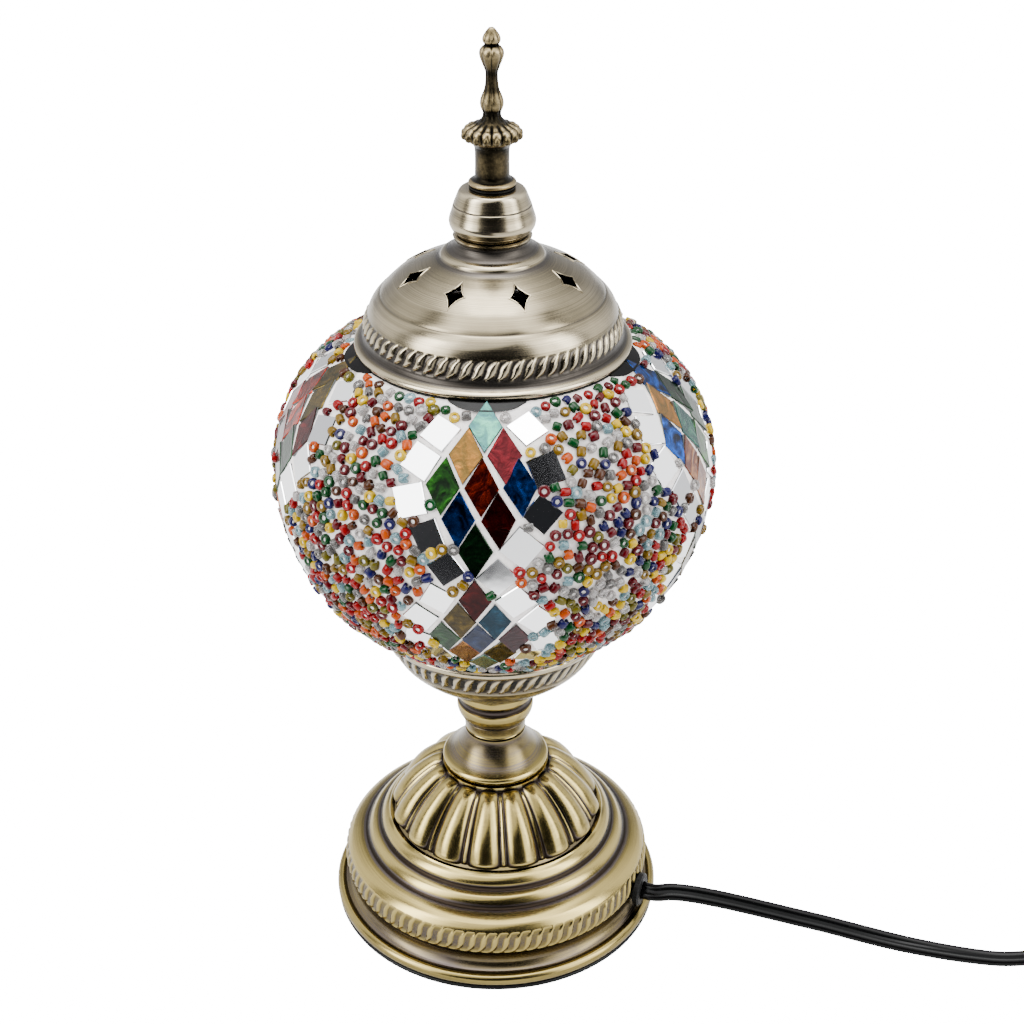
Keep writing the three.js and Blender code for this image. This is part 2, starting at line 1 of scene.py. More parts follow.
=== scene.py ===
"""Looks of the mosaic glass table lamp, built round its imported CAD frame.

Lengths in the tables below are millimetres in the lamp's own frame: the axis is X = Y = 0, the table is
Z = 0 and -Y is the front. Angles round the axis run from the front towards +X. Blender gets metres.
"""

import math

import bmesh
import bpy
import numpy as np
from mathutils import Matrix, Vector
from mathutils.kdtree import KDTree


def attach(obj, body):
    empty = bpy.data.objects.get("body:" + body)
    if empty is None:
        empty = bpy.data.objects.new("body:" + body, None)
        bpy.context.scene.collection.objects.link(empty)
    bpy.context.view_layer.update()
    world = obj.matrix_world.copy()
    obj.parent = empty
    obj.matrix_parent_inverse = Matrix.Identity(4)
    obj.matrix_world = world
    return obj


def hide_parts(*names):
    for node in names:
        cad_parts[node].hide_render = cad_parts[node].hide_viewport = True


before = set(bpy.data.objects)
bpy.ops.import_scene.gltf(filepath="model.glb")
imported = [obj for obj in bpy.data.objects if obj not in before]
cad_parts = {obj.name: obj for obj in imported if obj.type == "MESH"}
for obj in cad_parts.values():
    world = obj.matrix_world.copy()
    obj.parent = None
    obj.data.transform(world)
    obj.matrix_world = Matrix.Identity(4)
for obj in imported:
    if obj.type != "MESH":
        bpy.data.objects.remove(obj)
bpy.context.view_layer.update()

MM = 0.001
ROUND = 2 * math.pi
RNG = np.random.default_rng(20261)
WALL = 1.0  # pressed sheet


def in_scene(name, data):
    """A new object that holds the data, in the scene."""
    thing = bpy.data.objects.new(name, data)
    bpy.context.scene.collection.objects.link(thing)
    return thing


# ------------------------------------------------------------------ camera
def make_camera():
    data = bpy.data.cameras.new("camera")
    data.lens = 63.3
    data.sensor_width = 36.0
    data.clip_start = 0.01
    data.clip_end = 20.0
    camera = in_scene("camera", data)
    camera.location = (0.0063, -0.553, 0.4795)
    camera.rotation_euler = (math.radians(60.56), 0.0, 0.0)
    bpy.context.scene.camera = camera


make_camera()


# ------------------------------------------------------------------ node materials
class Shader:
    """The nodes of a new material, or of a world, with short calls for the ones used here."""

    def __init__(self, owner):
        self.material = bpy.data.materials.new(owner) if isinstance(owner, str) else owner
        self.material.use_nodes = True
        self.tree = self.material.node_tree
        self.nodes = self.tree.nodes
        self.principled = self.nodes.get("Principled BSDF")

    def put(self, socket, value):
        """Links the value to the socket when it is an output, or else makes it the socket's own."""
        if isinstance(value, bpy.types.NodeSocket):
            self.tree.links.new(value, socket)
        else:
            socket.default_value = value

    def set(self, **values):
        for name, value in values.items():
            self.put(self.principled.inputs[name.replace("_", " ")], value)

    def add(self, kind, inputs, output=0, **settings):
        """An output of a new node. Its inputs go by number or by name."""
        node = self.nodes.new("ShaderNode" + kind)
        for name, value in settings.items():
            setattr(node, name, value)
        for socket, value in inputs.items():
            self.put(node.inputs[socket], value)
        return node.outputs[output]

    def math(self, operation, a, b=0.0, clamp=False):
        return self.add("Math", {0: a, 1: b}, operation=operation, use_clamp=clamp)

    def plus(self, a, b, clamp=False):
        return self.math("ADD", a, b, clamp)

    def minus(self, a, b):
        return self.math("SUBTRACT", a, b)

    def times(self, a, b, clamp=False):
        return self.math("MULTIPLY", a, b, clamp)

    def spread(self, value, low, high):
        """value, which runs from 0 to 1, mapped to low to high."""
        return self.plus(self.times(value, high - low), low)

    def object_coords(self):
        return self.add("TexCoord", {}, "Object")

    def split(self, vector):
        return self.add("SeparateXYZ", {0: vector}).node.outputs

    def noise(self, scale, detail=3.0, roughness=0.5, distortion=0.0, place=None):
        inputs = {"Scale": scale, "Detail": detail, "Roughness": roughness, "Distortion": distortion}
        return self.add("TexNoise", {"Vector": place or self.object_coords(), **inputs}, "Fac")

    def ramp(self, value, *stops):
        color = self.add("ValToRGB", {0: value})
        elements = color.node.color_ramp.elements
        while len(elements) < len(stops):
            elements.new(0.5)
        for element, (position, shade) in zip(elements, stops):
            element.position = position
            element.color = (*shade, 1.0)
        return color

    def mix(self, factor, a, b):
        """Two colours mixed. Sockets 6, 7 and the third output are the mix node's colour ones."""
        a, b = (side if isinstance(side, bpy.types.NodeSocket) else (*side, 1.0) for side in (a, b))
        return self.add("Mix", {"Factor": factor, 6: a, 7: b}, 2, data_type="RGBA")

    def bump(self, height, strength, distance):
        self.set(Normal=self.add("Bump", {"Strength": strength, "Distance": distance, "Height": height}))

    def turned_lines(self, fine):
        """Noise in thin rings round the lamp's axis, as a lathe or a buffing wheel leaves them."""
        x, y, z = self.split(self.object_coords())
        radius = self.math("SQRT", self.plus(self.times(x, x), self.times(y, y)))
        across = self.times(self.plus(radius, z), fine)
        along = self.times(self.minus(radius, z), fine)
        rings = self.add("CombineXYZ", {0: across, 1: along, 2: self.times(x, 14.0)})
        return self.noise(1.0, 4.0, 0.6, place=rings)


def antique(name, dark, groove, mid, bright, rough):
    """Plated metal that is dark in its hollows and worn bright on its edges."""
    shader = Shader(name)
    cloud = shader.noise(36.0, 3.0, 0.6)
    lines = shader.turned_lines(2600.0)
    cavity = shader.add("Attribute", {}, "Fac", attribute_name="cavity")
    worn = shader.plus(cavity, shader.spread(cloud, -0.14, 0.14))
    worn = shader.plus(worn, shader.spread(lines, -0.20, 0.20), clamp=True)
    color = shader.ramp(worn, (0.06, dark), (0.30, groove), (0.50, mid), (0.78, bright))
    hollow = shader.ramp(worn, (0.2, (1.0, 1.0, 1.0)), (0.5, (0.0, 0.0, 0.0)))
    roughness = shader.plus(shader.spread(lines, rough - 0.05, rough + 0.07), shader.times(hollow, 0.16))
    shader.set(Base_Color=color, Metallic=1.0, Roughness=roughness, Anisotropic=0.55,
               Tangent=shader.add("Tangent", {}, direction_type="RADIAL", axis="Z"))
    shader.bump(lines, 0.24, 0.00006)
    return shader.material


BRASS = antique("antique_brass", (0.014, 0.010, 0.007), (0.066, 0.055, 0.053), (0.138, 0.106, 0.034),
                (0.310, 0.242, 0.084), 0.19)
PEWTER = antique("pewter_brass", (0.013, 0.011, 0.009), (0.054, 0.048, 0.042), (0.150, 0.126, 0.080),
                 (0.350, 0.300, 0.205), 0.18)


def cast_brass():
    """Dark pitted casting, rubbed bright where it stands out."""
    shader = Shader("cast_brass")
    pits = shader.noise(900.0, 4.0, 0.65)
    cloud = shader.noise(420.0, 3.0)
    cavity = shader.add("Attribute", {}, "Fac", attribute_name="cavity")
    worn = shader.plus(cavity, shader.spread(pits, -0.26, 0.26))
    worn = shader.plus(worn, shader.spread(cloud, -0.16, 0.10), clamp=True)
    color = shader.ramp(worn, (0.14, (0.006, 0.005, 0.003)), (0.38, (0.030, 0.023, 0.012)),
                        (0.62, (0.085, 0.066, 0.033)), (0.92, (0.230, 0.180, 0.095)))
    shader.set(Base_Color=color, Metallic=1.0, Roughness=shader.spread(pits, 0.26, 0.46))
    shader.bump(pits, 0.45, 0.00022)
    return shader.material


CAST = cast_brass()


def plated(name, color, rough):
    """Turned or drawn metal with fine tool lines."""
    shader = Shader(name)
    marks = shader.turned_lines(1800.0)
    cloud = shader.noise(70.0)
    dull = tuple(0.78 * c for c in color)
    shader.set(Base_Color=shader.mix(cloud, dull, color), Metallic=1.0,
               Roughness=shader.spread(marks, rough - 0.07, rough + 0.09))
    shader.bump(marks, 0.12, 0.00005)
    return shader.material


STEEL = plated("plated_steel", (0.27, 0.265, 0.255), 0.28)
BRIGHT = plated("bright_brass", (0.46, 0.33, 0.12), 0.22)


def iron():
    shader = Shader("cast_iron")
    grain = shader.noise(520.0, 5.0, 0.6)
    shader.set(Base_Color=shader.ramp(grain, (0.3, (0.035, 0.034, 0.033)), (0.75, (0.10, 0.098, 0.095))),
               Metallic=0.6, Roughness=shader.spread(grain, 0.5, 0.8))
    shader.bump(grain, 0.6, 0.0003)
    return shader.material


IRON = iron()


def black(name, color, rough, grain_scale, grain_depth, shine=0.12):
    """Moulded black rubber, vinyl or plastic with a fine grain."""
    shader = Shader(name)
    grain = shader.noise(grain_scale, 4.0, 0.6)
    lighter = tuple(2.2 * c for c in color)
    shader.set(Base_Color=shader.mix(grain, color, lighter), Specular_IOR_Level=shine,
               Roughness=shader.spread(grain, rough - 0.06, rough + 0.1))
    shader.bump(grain, 0.25, grain_depth)
    return shader.material


RUBBER = black("black_rubber", (0.0025, 0.0025, 0.0025), 0.42, 900.0, 0.0001)
VINYL = black("black_vinyl", (0.0009, 0.0009, 0.0010), 0.20, 700.0, 0.00004, 0.09)
SWITCH_BLACK = black("switch_plastic", (0.0014, 0.0014, 0.0015), 0.34, 800.0, 0.00005, 0.05)
PHENOLIC = black("socket_plastic", (0.010, 0.007, 0.005), 0.34, 500.0, 0.00008)


def grout():
    shader = Shader("grout")
    grain = shader.noise(1100.0, 5.0, 0.65)
    cloud = shader.noise(60.0, 3.0)
    color = shader.mix(cloud, (0.78, 0.73, 0.70), (0.92, 0.89, 0.87))
    color = shader.mix(shader.ramp(grain, (0.25, (1, 1, 1)), (0.45, (0, 0, 0))), color, (0.60, 0.54, 0.50))
    shader.set(Base_Color=color, Roughness=0.62)
    shader.bump(grain, 0.5, 0.00025)
    return shader.material


GROUT = grout()


def clear_glass(name, color, rough):
    shader = Shader(name)
    ripple = shader.noise(90.0, 2.0)
    shader.set(Base_Color=(*color, 1.0), Roughness=rough, Transmission_Weight=1.0, IOR=1.47)
    shader.bump(ripple, 0.05, 0.0003)
    return shader.material


GLOBE_GLASS = clear_glass("globe_glass", (0.96, 0.98, 0.97), 0.03)
BULB_GLASS = clear_glass("bulb_glass", (0.99, 0.98, 0.96), 0.02)


def mirror(name, shade, speckle):
    """Cut mirror, a little uneven, with dust and pinholes in its silvering."""
    shader = Shader(name)
    dust = shader.noise(2600.0, 2.0, 0.7)
    wave = shader.noise(120.0, 2.0)
    color = shader.mix(shader.ramp(dust, (0.66, (0, 0, 0)), (0.72, (1, 1, 1))), shade,
                       tuple(min(1.0, 0.85 * s + 0.1) for s in shade))
    shader.set(Base_Color=color, Metallic=1.0, Roughness=shader.plus(0.035, shader.times(dust, speckle)))
    shader.bump(wave, 0.05, 0.0004)
    return shader.material


MIRROR = mirror("mirror_tile", (0.93, 0.94, 0.95), 0.03)
# A darker copy of the mirror: painted shade, so that its squares show dark reflections.
SHADED_MIRROR = mirror("grey_mirror_tile", (0.36, 0.365, 0.38), 0.07)


def foil_glass(name, deep, light):
    """Rolled coloured glass on foil: deep where it is thick, lighter in streaks, with a clear face."""
    shader = Shader(name)
    swirl = shader.noise(150.0, 3.0, 0.55, 1.6)
    seeds = shader.noise(700.0, 2.0, 0.5, 0.4)
    blend = shader.plus(shader.times(swirl, 0.85), shader.times(seeds, 0.15))
    between = tuple(0.65 * d + 0.35 * l for d, l in zip(deep, light))
    color = shader.ramp(blend, (0.40, deep), (0.55, between), (0.66, light))
    shader.set(Base_Color=color, Metallic=0.88, Roughness=shader.spread(seeds, 0.10, 0.24),
               Coat_Weight=0.08, Coat_Roughness=0.03)
    shader.bump(blend, 0.35, 0.0006)
    return shader.material


TILE_COLORS = {  # where the glass is thick, and in its lighter streaks
    "red": ((0.045, 0.001, 0.003), (0.170, 0.008, 0.014)),
    "dark_red": ((0.018, 0.001, 0.001), (0.110, 0.003, 0.003)),
    "ember": ((0.035, 0.001, 0.001), (0.480, 0.028, 0.002)),
    "gold": ((0.100, 0.058, 0.012), (0.340, 0.130, 0.018)),
    "olive": ((0.028, 0.021, 0.002), (0.160, 0.095, 0.006)),
    "green": ((0.001, 0.008, 0.001), (0.016, 0.135, 0.006)),
    "dark_green": ((0.001, 0.006, 0.001), (0.003, 0.036, 0.008)),
    "blue": ((0.001, 0.003, 0.012), (0.002, 0.085, 0.460)),
    "teal": ((0.010, 0.042, 0.042), (0.030, 0.130, 0.085)),
    "wine": ((0.010, 0.002, 0.002), (0.050, 0.004, 0.004)),
    "umber": ((0.018, 0.013, 0.005), (0.075, 0.050, 0.010)),
    "petrol": ((0.003, 0.013, 0.022), (0.007, 0.034, 0.058)),
    "moss": ((0.004, 0.014, 0.005), (0.013, 0.045, 0.014)),
    "slate": ((0.005, 0.008, 0.021), (0.012, 0.021, 0.056)),
    "plum": ((0.012, 0.002, 0.004), (0.052, 0.009, 0.013)),
    "amber": ((0.062, 0.006, 0.002), (0.300, 0.130, 0.045)),
}
EDGE = black("tile_edge", (0.055, 0.060, 0.058), 0.22, 500.0, 0.00005, 0.4)
TILE_GLASS = {name: foil_glass("tile_" + name, *pair) for name, pair in TILE_COLORS.items()}


def bead_glass(name, color, share):
    """Seed-bead glass: a saturated body that lets some light through, under a hard gloss."""
    shader = Shader("bead_" + name)
    vary = shader.noise(380.0, 1.0)
    darker = tuple(0.6 * c for c in color)
    lighter = tuple(min(1.0, 1.3 * c) for c in color)
    shader.set(Base_Color=shader.mix(vary, darker, lighter), Roughness=0.05, IOR=1.45,
               Transmission_Weight=share, Specular_IOR_Level=0.16)
    return shader.material


BEADS = [  # name, colour, share of light let through, how common
    ("red", (0.190, 0.0006, 0.0020), 0.08, 15),
    ("garnet", (0.070, 0.0008, 0.0032), 0.12, 12),
    ("orange", (0.340, 0.0440, 0.0005), 0.08, 9),
    ("yellow", (0.460, 0.3000, 0.0030), 0.08, 10),
    ("amber", (0.140, 0.0780, 0.0020), 0.15, 9),
    ("olive", (0.090, 0.0750, 0.0040), 0.15, 5),
    ("green", (0.0012, 0.0380, 0.0070), 0.10, 9),
    ("navy", (0.0050, 0.0045, 0.0520), 0.10, 7),
    ("brown", (0.048, 0.0130, 0.0024), 0.15, 7),
    ("clear", (0.46, 0.440, 0.43), 0.66, 10),
    ("smoke", (0.150, 0.142, 0.136), 0.60, 8),
    ("ice", (0.19, 0.33, 0.37), 0.62, 8),
]
BEAD_MATERIALS = [bead_glass(name, color, share) for name, color, share, _ in BEADS]


# ------------------------------------------------------------------ mesh helpers
def own(name, mesh, body, replaces=(), smooth=35.0):
    """The mesh as a piece that rides on a body. Faces meet smoothly below an angle in degrees."""
    mesh.polygons.foreach_set("use_smooth", [True] * len(mesh.polygons))
    mesh.set_sharp_from_angle(angle=math.radians(smooth))
    piece = in_scene(name, mesh)
    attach(piece, body)
    if replaces:
        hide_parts(*replaces)
    return piece


def mesh_of(name, points, faces, *materials):
    """A mesh from points in millimetres."""
    mesh = bpy.data.meshes.new(name)
    mesh.from_pydata([tuple(p) for p in np.asarray(points, float) * MM], [], faces)
    for material in materials:
        mesh.materials.append(material)
    return mesh


def mark_cavity(mesh, values):
    """How hollow or proud each point is, for the antique finishes: 0 to 1, with 0.5 on a plain wall."""
    values = np.asarray(values, np.float32).ravel()
    mesh.attributes.new("cavity", "FLOAT", "POINT").data.foreach_set("value", values)


def grid_faces(rows, columns, start=0, closed=False):
    """Faces between neighbouring rows of points, each row a ring. closed joins the last to the first."""
    i, j = np.meshgrid(np.arange(rows if closed else rows - 1), np.arange(columns), indexing="ij")
    k, n = (i + 1) % rows * columns, (j + 1) % columns
    quads = start + np.stack([i * columns + j, i * columns + n, k + n, k + j], axis=2)
    return quads.reshape(-1, 4).tolist()


def end_faces(rows, columns, start=0):
    """The two faces that close the first and the last row."""
    last = start + (rows - 1) * columns
    return [list(range(start, start + columns))[::-1], list(range(last, last + columns))]


def steps(line):
    """The lengths of a line's pieces."""
    return np.linalg.norm(np.diff(line, axis=0), axis=1)


def unit(vectors):
    return vectors / np.linalg.norm(vectors, axis=1)[:, None]


def round_angles(count):
    return np.arange(count) * ROUND / count


def polar(azimuth, r, z):
    """The point at an angle round the lamp's axis."""
    return r * math.sin(azimuth), -r * math.cos(azimuth), z


def spline(points, step):
    """A smooth line through points of any dimension, sampled about every step. A point that is given twice
    is a corner."""
    points = np.asarray(points, float)
    pieces, start = [], 0
    for i in range(1, len(points)):
        if np.allclose(points[i], points[i - 1]):
            pieces.append(points[start:i])
            start = i
    pieces.append(points[start:])
    line = []
    for part in pieces:
        if len(part) < 2:
            continue
        padded = np.vstack([2 * part[0] - part[1], part, 2 * part[-1] - part[-2]])
        for p0, p1, p2, p3 in zip(padded, padded[1:], padded[2:], padded[3:]):
            knots = np.cumsum([0.0, *(max(np.linalg.norm(b - a), 1e-6) ** 0.5
                                      for a, b in ((p0, p1), (p1, p2), (p2, p3)))])
            count = max(2, int(math.ceil(np.linalg.norm(p2 - p1) / step)))
            for t in np.linspace(knots[1], knots[2], count, endpoint=False):
                a1 = p0 + (p1 - p0) * (t - knots[0]) / (knots[1] - knots[0])
                a2 = p1 + (p2 - p1) * (t - knots[1]) / (knots[2] - knots[1])
                a3 = p2 + (p3 - p2) * (t - knots[2]) / (knots[3] - knots[2])
                b1 = a1 + (a2 - a1) * (t - knots[0]) / (knots[2] - knots[0])
                b2 = a2 + (a3 - a2) * (t - knots[1]) / (knots[3] - knots[1])
                line.append(b1 + (b2 - b1) * (t - knots[1]) / (knots[2] - knots[1]))
        line.append(part[-1])
    line = np.array(line)
    return line[np.concatenate([[True], steps(line) > 1e-4])]


def side_normals(line):
    """Unit normals of an [r, z] line, to its right as it runs, which is outwards where it runs up."""
    along = unit(np.gradient(line, axis=0))
    return np.stack([along[:, 1], -along[:, 0]], axis=1)


def smoothed(grid, rows, columns):
    """Mean of each point's neighbours in a grid that closes on itself across its columns."""
    out = grid
    for _ in range(2):
        stack = [np.roll(out, shift, axis=1) for shift in range(-columns, columns + 1)]
        out = sum(stack) / len(stack)
        padded = np.concatenate([out[:1].repeat(rows, 0), out, out[-1:].repeat(rows, 0)])
        out = sum(padded[k:k + len(out)] for k in range(2 * rows + 1)) / (2 * rows + 1)
    return out


def revolve(name, outer, inner, columns, material, relief=None, wear=0.34, reach=1.3, spread=0.3, ease=None,
            capped=False):
    """A body of revolution. outer runs up its outside and may carry relief(azimuth, r, z) in millimetres, and
    inner runs back down its inside. Its cavity is 0.5 on a plain wall, lower in hollows and higher on edges:
    wear is the depth of a full hollow, reach its width, spread how much a hollow darkens what is round it,
    and ease(z) weakens the effect."""
    angles = round_angles(columns)
    normals = side_normals(outer)
    lift = np.zeros((len(outer), columns))
    if relief is not None:
        lift = relief(angles[None, :], outer[:, :1], outer[:, 1:])
    r = outer[:, :1] + normals[:, :1] * lift
    z = outer[:, 1:] + normals[:, 1:] * lift
    rows = max(1, int(round(reach / np.median(steps(outer)))))
    width = max(1, int(round(reach / (ROUND * outer[:, 0].max() / columns))))
    shape = np.stack([r, z], axis=2)

    def proud(rows, width):
        mean = smoothed(shape, rows, min(width, columns // 4))
        return ((shape - mean) * normals[:, None, :]).sum(axis=2) / wear

    hollow = proud(rows, width) + spread * np.clip(proud(3 * rows, 2 * width), -1.2, 0.6)
    if ease is not None:
        hollow = hollow * ease(z)
    inner = np.asarray(inner, float).reshape(-1, 2)
    r = np.vstack([r, np.repeat(inner[:, :1], columns, 1)])
    z = np.vstack([z, np.repeat(inner[:, 1:], columns, 1)])
    points = np.stack([r * np.sin(angles), -r * np.cos(angles), z], axis=2).reshape(-1, 3)
    faces = grid_faces(len(r), columns, closed=not capped)
    if capped:
        faces += end_faces(len(r), columns)
    mesh = mesh_of(name, points, faces, material)
    outside = np.clip(0.5 + 0.5 * hollow, 0.0, 1.0)
    mark_cavity(mesh, np.vstack([outside, np.full((len(inner), columns), 0.42)]))
    return mesh


def turned(name, node, body, slot, *profile, smooth=35.0, **shape):
    """A body of revolution that stands for a CAD node. The rest goes to revolve."""
    return own(name, revolve(name, *profile, **shape), body, [node], smooth)


def lined(outer, wall, step=3.0):
    """The inside line of a sheet whose outside is outer: coarser, a wall away, and running back."""
    inside = outer - side_normals(outer) * wall
    stride = max(1, int(step / np.median(steps(outer))))
    chosen = list(range(0, len(inside) - 1, stride)) + [len(inside) - 1]
    return inside[chosen][::-1]


def wrap(value):
    """value turned to lie between -0.5 and 0.5 of a pitch."""
    return value - np.round(value)


def ramp_up(value, low, high):
    """0 below low, 1 above high and smooth between them."""
    t = np.clip((value - low) / (high - low), 0.0, 1.0)
    return t * t * (3 - 2 * t)


def rope(low, high, ribs, height, slant, width=0.34):
    """Relief of a band of slanted raised leaves between two heights, on a slightly sunken ground."""
    def relief(angle, _r, z):
        v = (z - low) / (high - low)
        inside = ramp_up(v, -0.05, 0.06) * (1 - ramp_up(v, 0.94, 1.05))
        bend = 0.10 * np.sin(ROUND * np.clip(v, 0.0, 1.0))
        x = wrap(angle * ribs / ROUND - slant * (v - 0.5) - bend)
        across = width * np.clip(np.sin(math.pi * np.clip(v, 0.03, 0.97)), 0, 1) ** 0.3
        leaf = np.clip(1 - (x / np.maximum(across, 1e-3)) ** 2, 0, 1) ** 0.85
        tall = np.clip(np.sin(math.pi * np.clip(v, 0.0, 1.0)), 0, 1) ** 0.35
        return inside * (height * tall * leaf - 0.18)
    return relief


# ------------------------------------------------------------------ the base
FLUTE_FOOT = (40.6, 38.4)
FLUTE_TOP = (20.4, 60.4)
BASE_SKIRT = [
    (60.9, 1.9), (61.9, 2.4), (62.5, 3.6), (62.4, 5.0), (61.5, 6.2), (60.2, 6.4), (59.3, 5.9), (58.6, 5.9),
    (57.4, 6.6), (56.2, 8.4), (55.9, 10.4), (56.3, 12.4), (57.3, 13.9), (57.9, 14.6), (57.9, 14.6),
    (58.0, 19.0), (57.6, 23.5), (57.6, 23.5), (57.0, 24.4), (55.6, 25.9), (53.6, 27.1), (51.2, 28.0),
    (49.9, 28.5), (49.4, 29.1), (49.4, 29.1), (48.9, 30.0), (48.3, 30.9), (47.3, 31.9), (46.0, 32.5),
    (44.8, 33.0), (44.2, 33.6), (44.2, 33.6), (43.9, 34.8), (43.3, 35.8), (42.3, 36.8), (41.2, 37.5),
    FLUTE_FOOT, FLUTE_FOOT,
]
FLUTE_CREST = [(39.2, 41.6), (36.9, 45.8), (33.0, 51.1), (28.4, 55.5), (24.0, 58.7), FLUTE_TOP, FLUTE_TOP]
BASE_TOP = [(16.0, 60.6), (5.6, 60.6)]
FLUTES = 16
FLUTE_TURN = math.radians(5.0)  # where one channel is
FLUTE_DEEP = 2.5
CHANNEL_HALF = 1.6  # half the width of the channel between two petals, at their feet
BASE_ROPE = rope(14.8, 23.4, 88, 0.85, 0.85, 0.29)
CORD_AZIMUTH = math.radians(68.0)
CORD_Z = 13.7
HOLE_R = 5.0
FOOT_PAD = [(61.2, 0.0), (62.0, 0.4), (62.2, 1.1), (61.8, 1.75), (61.8, 1.75), (50.0, 1.75)]


def flutes(angle, r, z):
    """Convex petals with a channel between them, and a thin ridge along the bottom of each channel."""
    along = np.hypot(r - FLUTE_FOOT[0], z - FLUTE_FOOT[1])
    long = math.dist(FLUTE_FOOT, FLUTE_TOP)
    on_crown = (z > FLUTE_FOOT[1] - 0.1) & (r > FLUTE_TOP[0] - 0.1)
    pitch = ROUND / FLUTES
    x = np.abs(wrap((angle - FLUTE_TURN) / pitch)) * pitch * r  # distance from the channel's middle
    half = pitch * r / 2
    channel = CHANNEL_HALF * r / 38.0
    across = np.clip((x - channel) / np.maximum(half - channel, 1e-3), 0, 1)
    crest = np.clip(1 - (1 - across) ** 2, 0, 1) ** 0.78
    end = np.clip(np.minimum(along / 1.8, (long - along) / 5.0), 0, 1)
    petal = crest * np.sqrt(np.clip(1 - (1 - end) ** 2, 0, 1))
    ridge = 0.34 * np.exp(-((x / (0.45 * channel)) ** 2)) * np.clip(end * 1.5 - 0.3, 0, 1)
    deep = FLUTE_DEEP * np.clip(r / 34.0, 0.6, 1.0)
    return np.where(on_crown, -deep * (1 - np.maximum(petal, ridge)), 0.0)


def base_wear(z):
    """The cove above the rim is polished out and the rope band partly, so their hollows are less dark."""
    return np.where(z < 14.2, 0.22, np.where(z < 24.0, 0.6, 1.0))


def build_base():
    outer = spline(BASE_SKIRT + FLUTE_CREST + BASE_TOP, 0.55)
    fluted = ramp_up(outer[:, 1:], 38.0, 40.0) * ramp_up(outer[:, :1], 17.0, 20.0)
    mesh = revolve("base_shell_sheet", outer, lined(outer, WALL + FLUTE_DEEP * fluted), 704, BRASS,
                   lambda a, r, z: flutes(a, r, z) + BASE_ROPE(a, r, z), ease=base_wear)
    piece = own("base_sheet", mesh, "stand", ["base_shell"], 50.0)
    cut_hole(piece)
    turned("foot_pad", "base_pad", "stand", "black_rubber", spline(FOOT_PAD, 0.4), [(14, 1.75), (14, 0)], 160,
           RUBBER)


def cut_hole(piece):
    """The round hole through the base wall that the grommet sits in."""
    mesh = bpy.data.meshes.new("hole_cutter")
    bm = bmesh.new()
    bmesh.ops.create_cone(bm, cap_ends=True, segments=40, radius1=HOLE_R * MM, radius2=HOLE_R * MM,
                          depth=16 * MM)
    bm.to_mesh(mesh)
    bm.free()
    cutter = in_scene("hole_cutter", mesh)
    out = Vector(polar(CORD_AZIMUTH, 1, 0))
    cutter.matrix_world = Matrix.Translation(out * 57 * MM + Vector((0, 0, CORD_Z * MM))) @ (
        out.to_track_quat("Z", "Y").to_matrix().to_4x4())
    subtract(piece, cutter)


def subtract(piece, cutter):
    """Cuts the cutter out of the piece for good, and removes the cutter."""
    modifier = piece.modifiers.new("cut", "BOOLEAN")
    modifier.operation = "DIFFERENCE"
    modifier.solver = "EXACT"
    modifier.object = cutter
    bpy.context.view_layer.update()
    graph = bpy.context.evaluated_depsgraph_get()
    result = bpy.data.meshes.new_from_object(piece.evaluated_get(graph), depsgraph=graph)
    piece.modifiers.clear()
    piece.data = result
    bpy.data.objects.remove(cutter)


build_base()

# ------------------------------------------------------------------ the neck and the cup
CONE = [
    (17.0, 61.1), (19.3, 61.2), (19.8, 62.0), (19.9, 63.0), (19.4, 63.8), (18.5, 64.4), (16.6, 65.9),
    (14.8, 67.9), (13.3, 70.0), (12.2, 72.2), (11.5, 74.2), (11.3, 75.3), (11.3, 75.3),
]
SPOOL = [
    (10.0, 75.6), (11.0, 75.7), (11.3, 76.3), (11.3, 76.3), (11.1, 76.6), (11.35, 76.9), (11.35, 76.9),
    (11.5, 78.4), (11.8, 80.2), (11.9, 80.7), (11.9, 80.7), (11.75, 81.0), (12.1, 81.3), (12.1, 81.3),
    (12.9, 82.3), (13.7, 83.8), (14.2, 85.6), (14.25, 87.4), (14.1, 88.0), (14.1, 88.0), (13.6, 88.3),
    (13.4, 89.2), (13.5, 90.4), (14.0, 91.2), (14.0, 91.2), (14.5, 92.0), (14.6, 93.4), (14.3, 94.8),
    (14.0, 95.0), (14.0, 95.0),
]
CUP = [
    (5.6, 95.3), (14.3, 95.3), (14.3, 95.3), (15.6, 95.9), (18.6, 97.6), (22.2, 100.2), (26.8, 104.0),
    (31.6, 108.0), (35.2, 111.6), (36.9, 114.2), (37.2, 115.2), (37.2, 115.2), (38.6, 118.2), (40.0, 121.2),
    (41.4, 124.2), (41.4, 124.2), (42.3, 124.6), (43.1, 125.3), (43.6, 126.4), (43.5, 127.4), (42.9, 127.9),
    (42.3, 127.5),
]


def build_neck():
    for name, line, node in (("cone_turned", CONE, "neck_cone"), ("spool_turned", SPOOL, "neck_spool")):
        outer = spline(line, 0.25)
        inner = [(5.5, outer[-1, 1]), (5.5, outer[0, 1])]
        turned(name, node, "stand", "antique_brass", outer, inner, 192, BRASS, wear=0.20, reach=0.8)
    outer = spline(CUP, 0.45)
    turned("cup_sheet", "lower_cup", "stand", "pewter_brass", outer, lined(outer, WALL), 560, PEWTER,
           rope(115.6, 123.8, 56, 0.85, 0.9, 0.36), wear=0.55)


build_neck()

# ------------------------------------------------------------------ the globe
GLOBE_R = 76.5
GLOBE_MID = 184.0
GLOBE_UP = 58.5
GLOBE_UP_POWER = 2.4
GLOBE_DOWN = 67.2


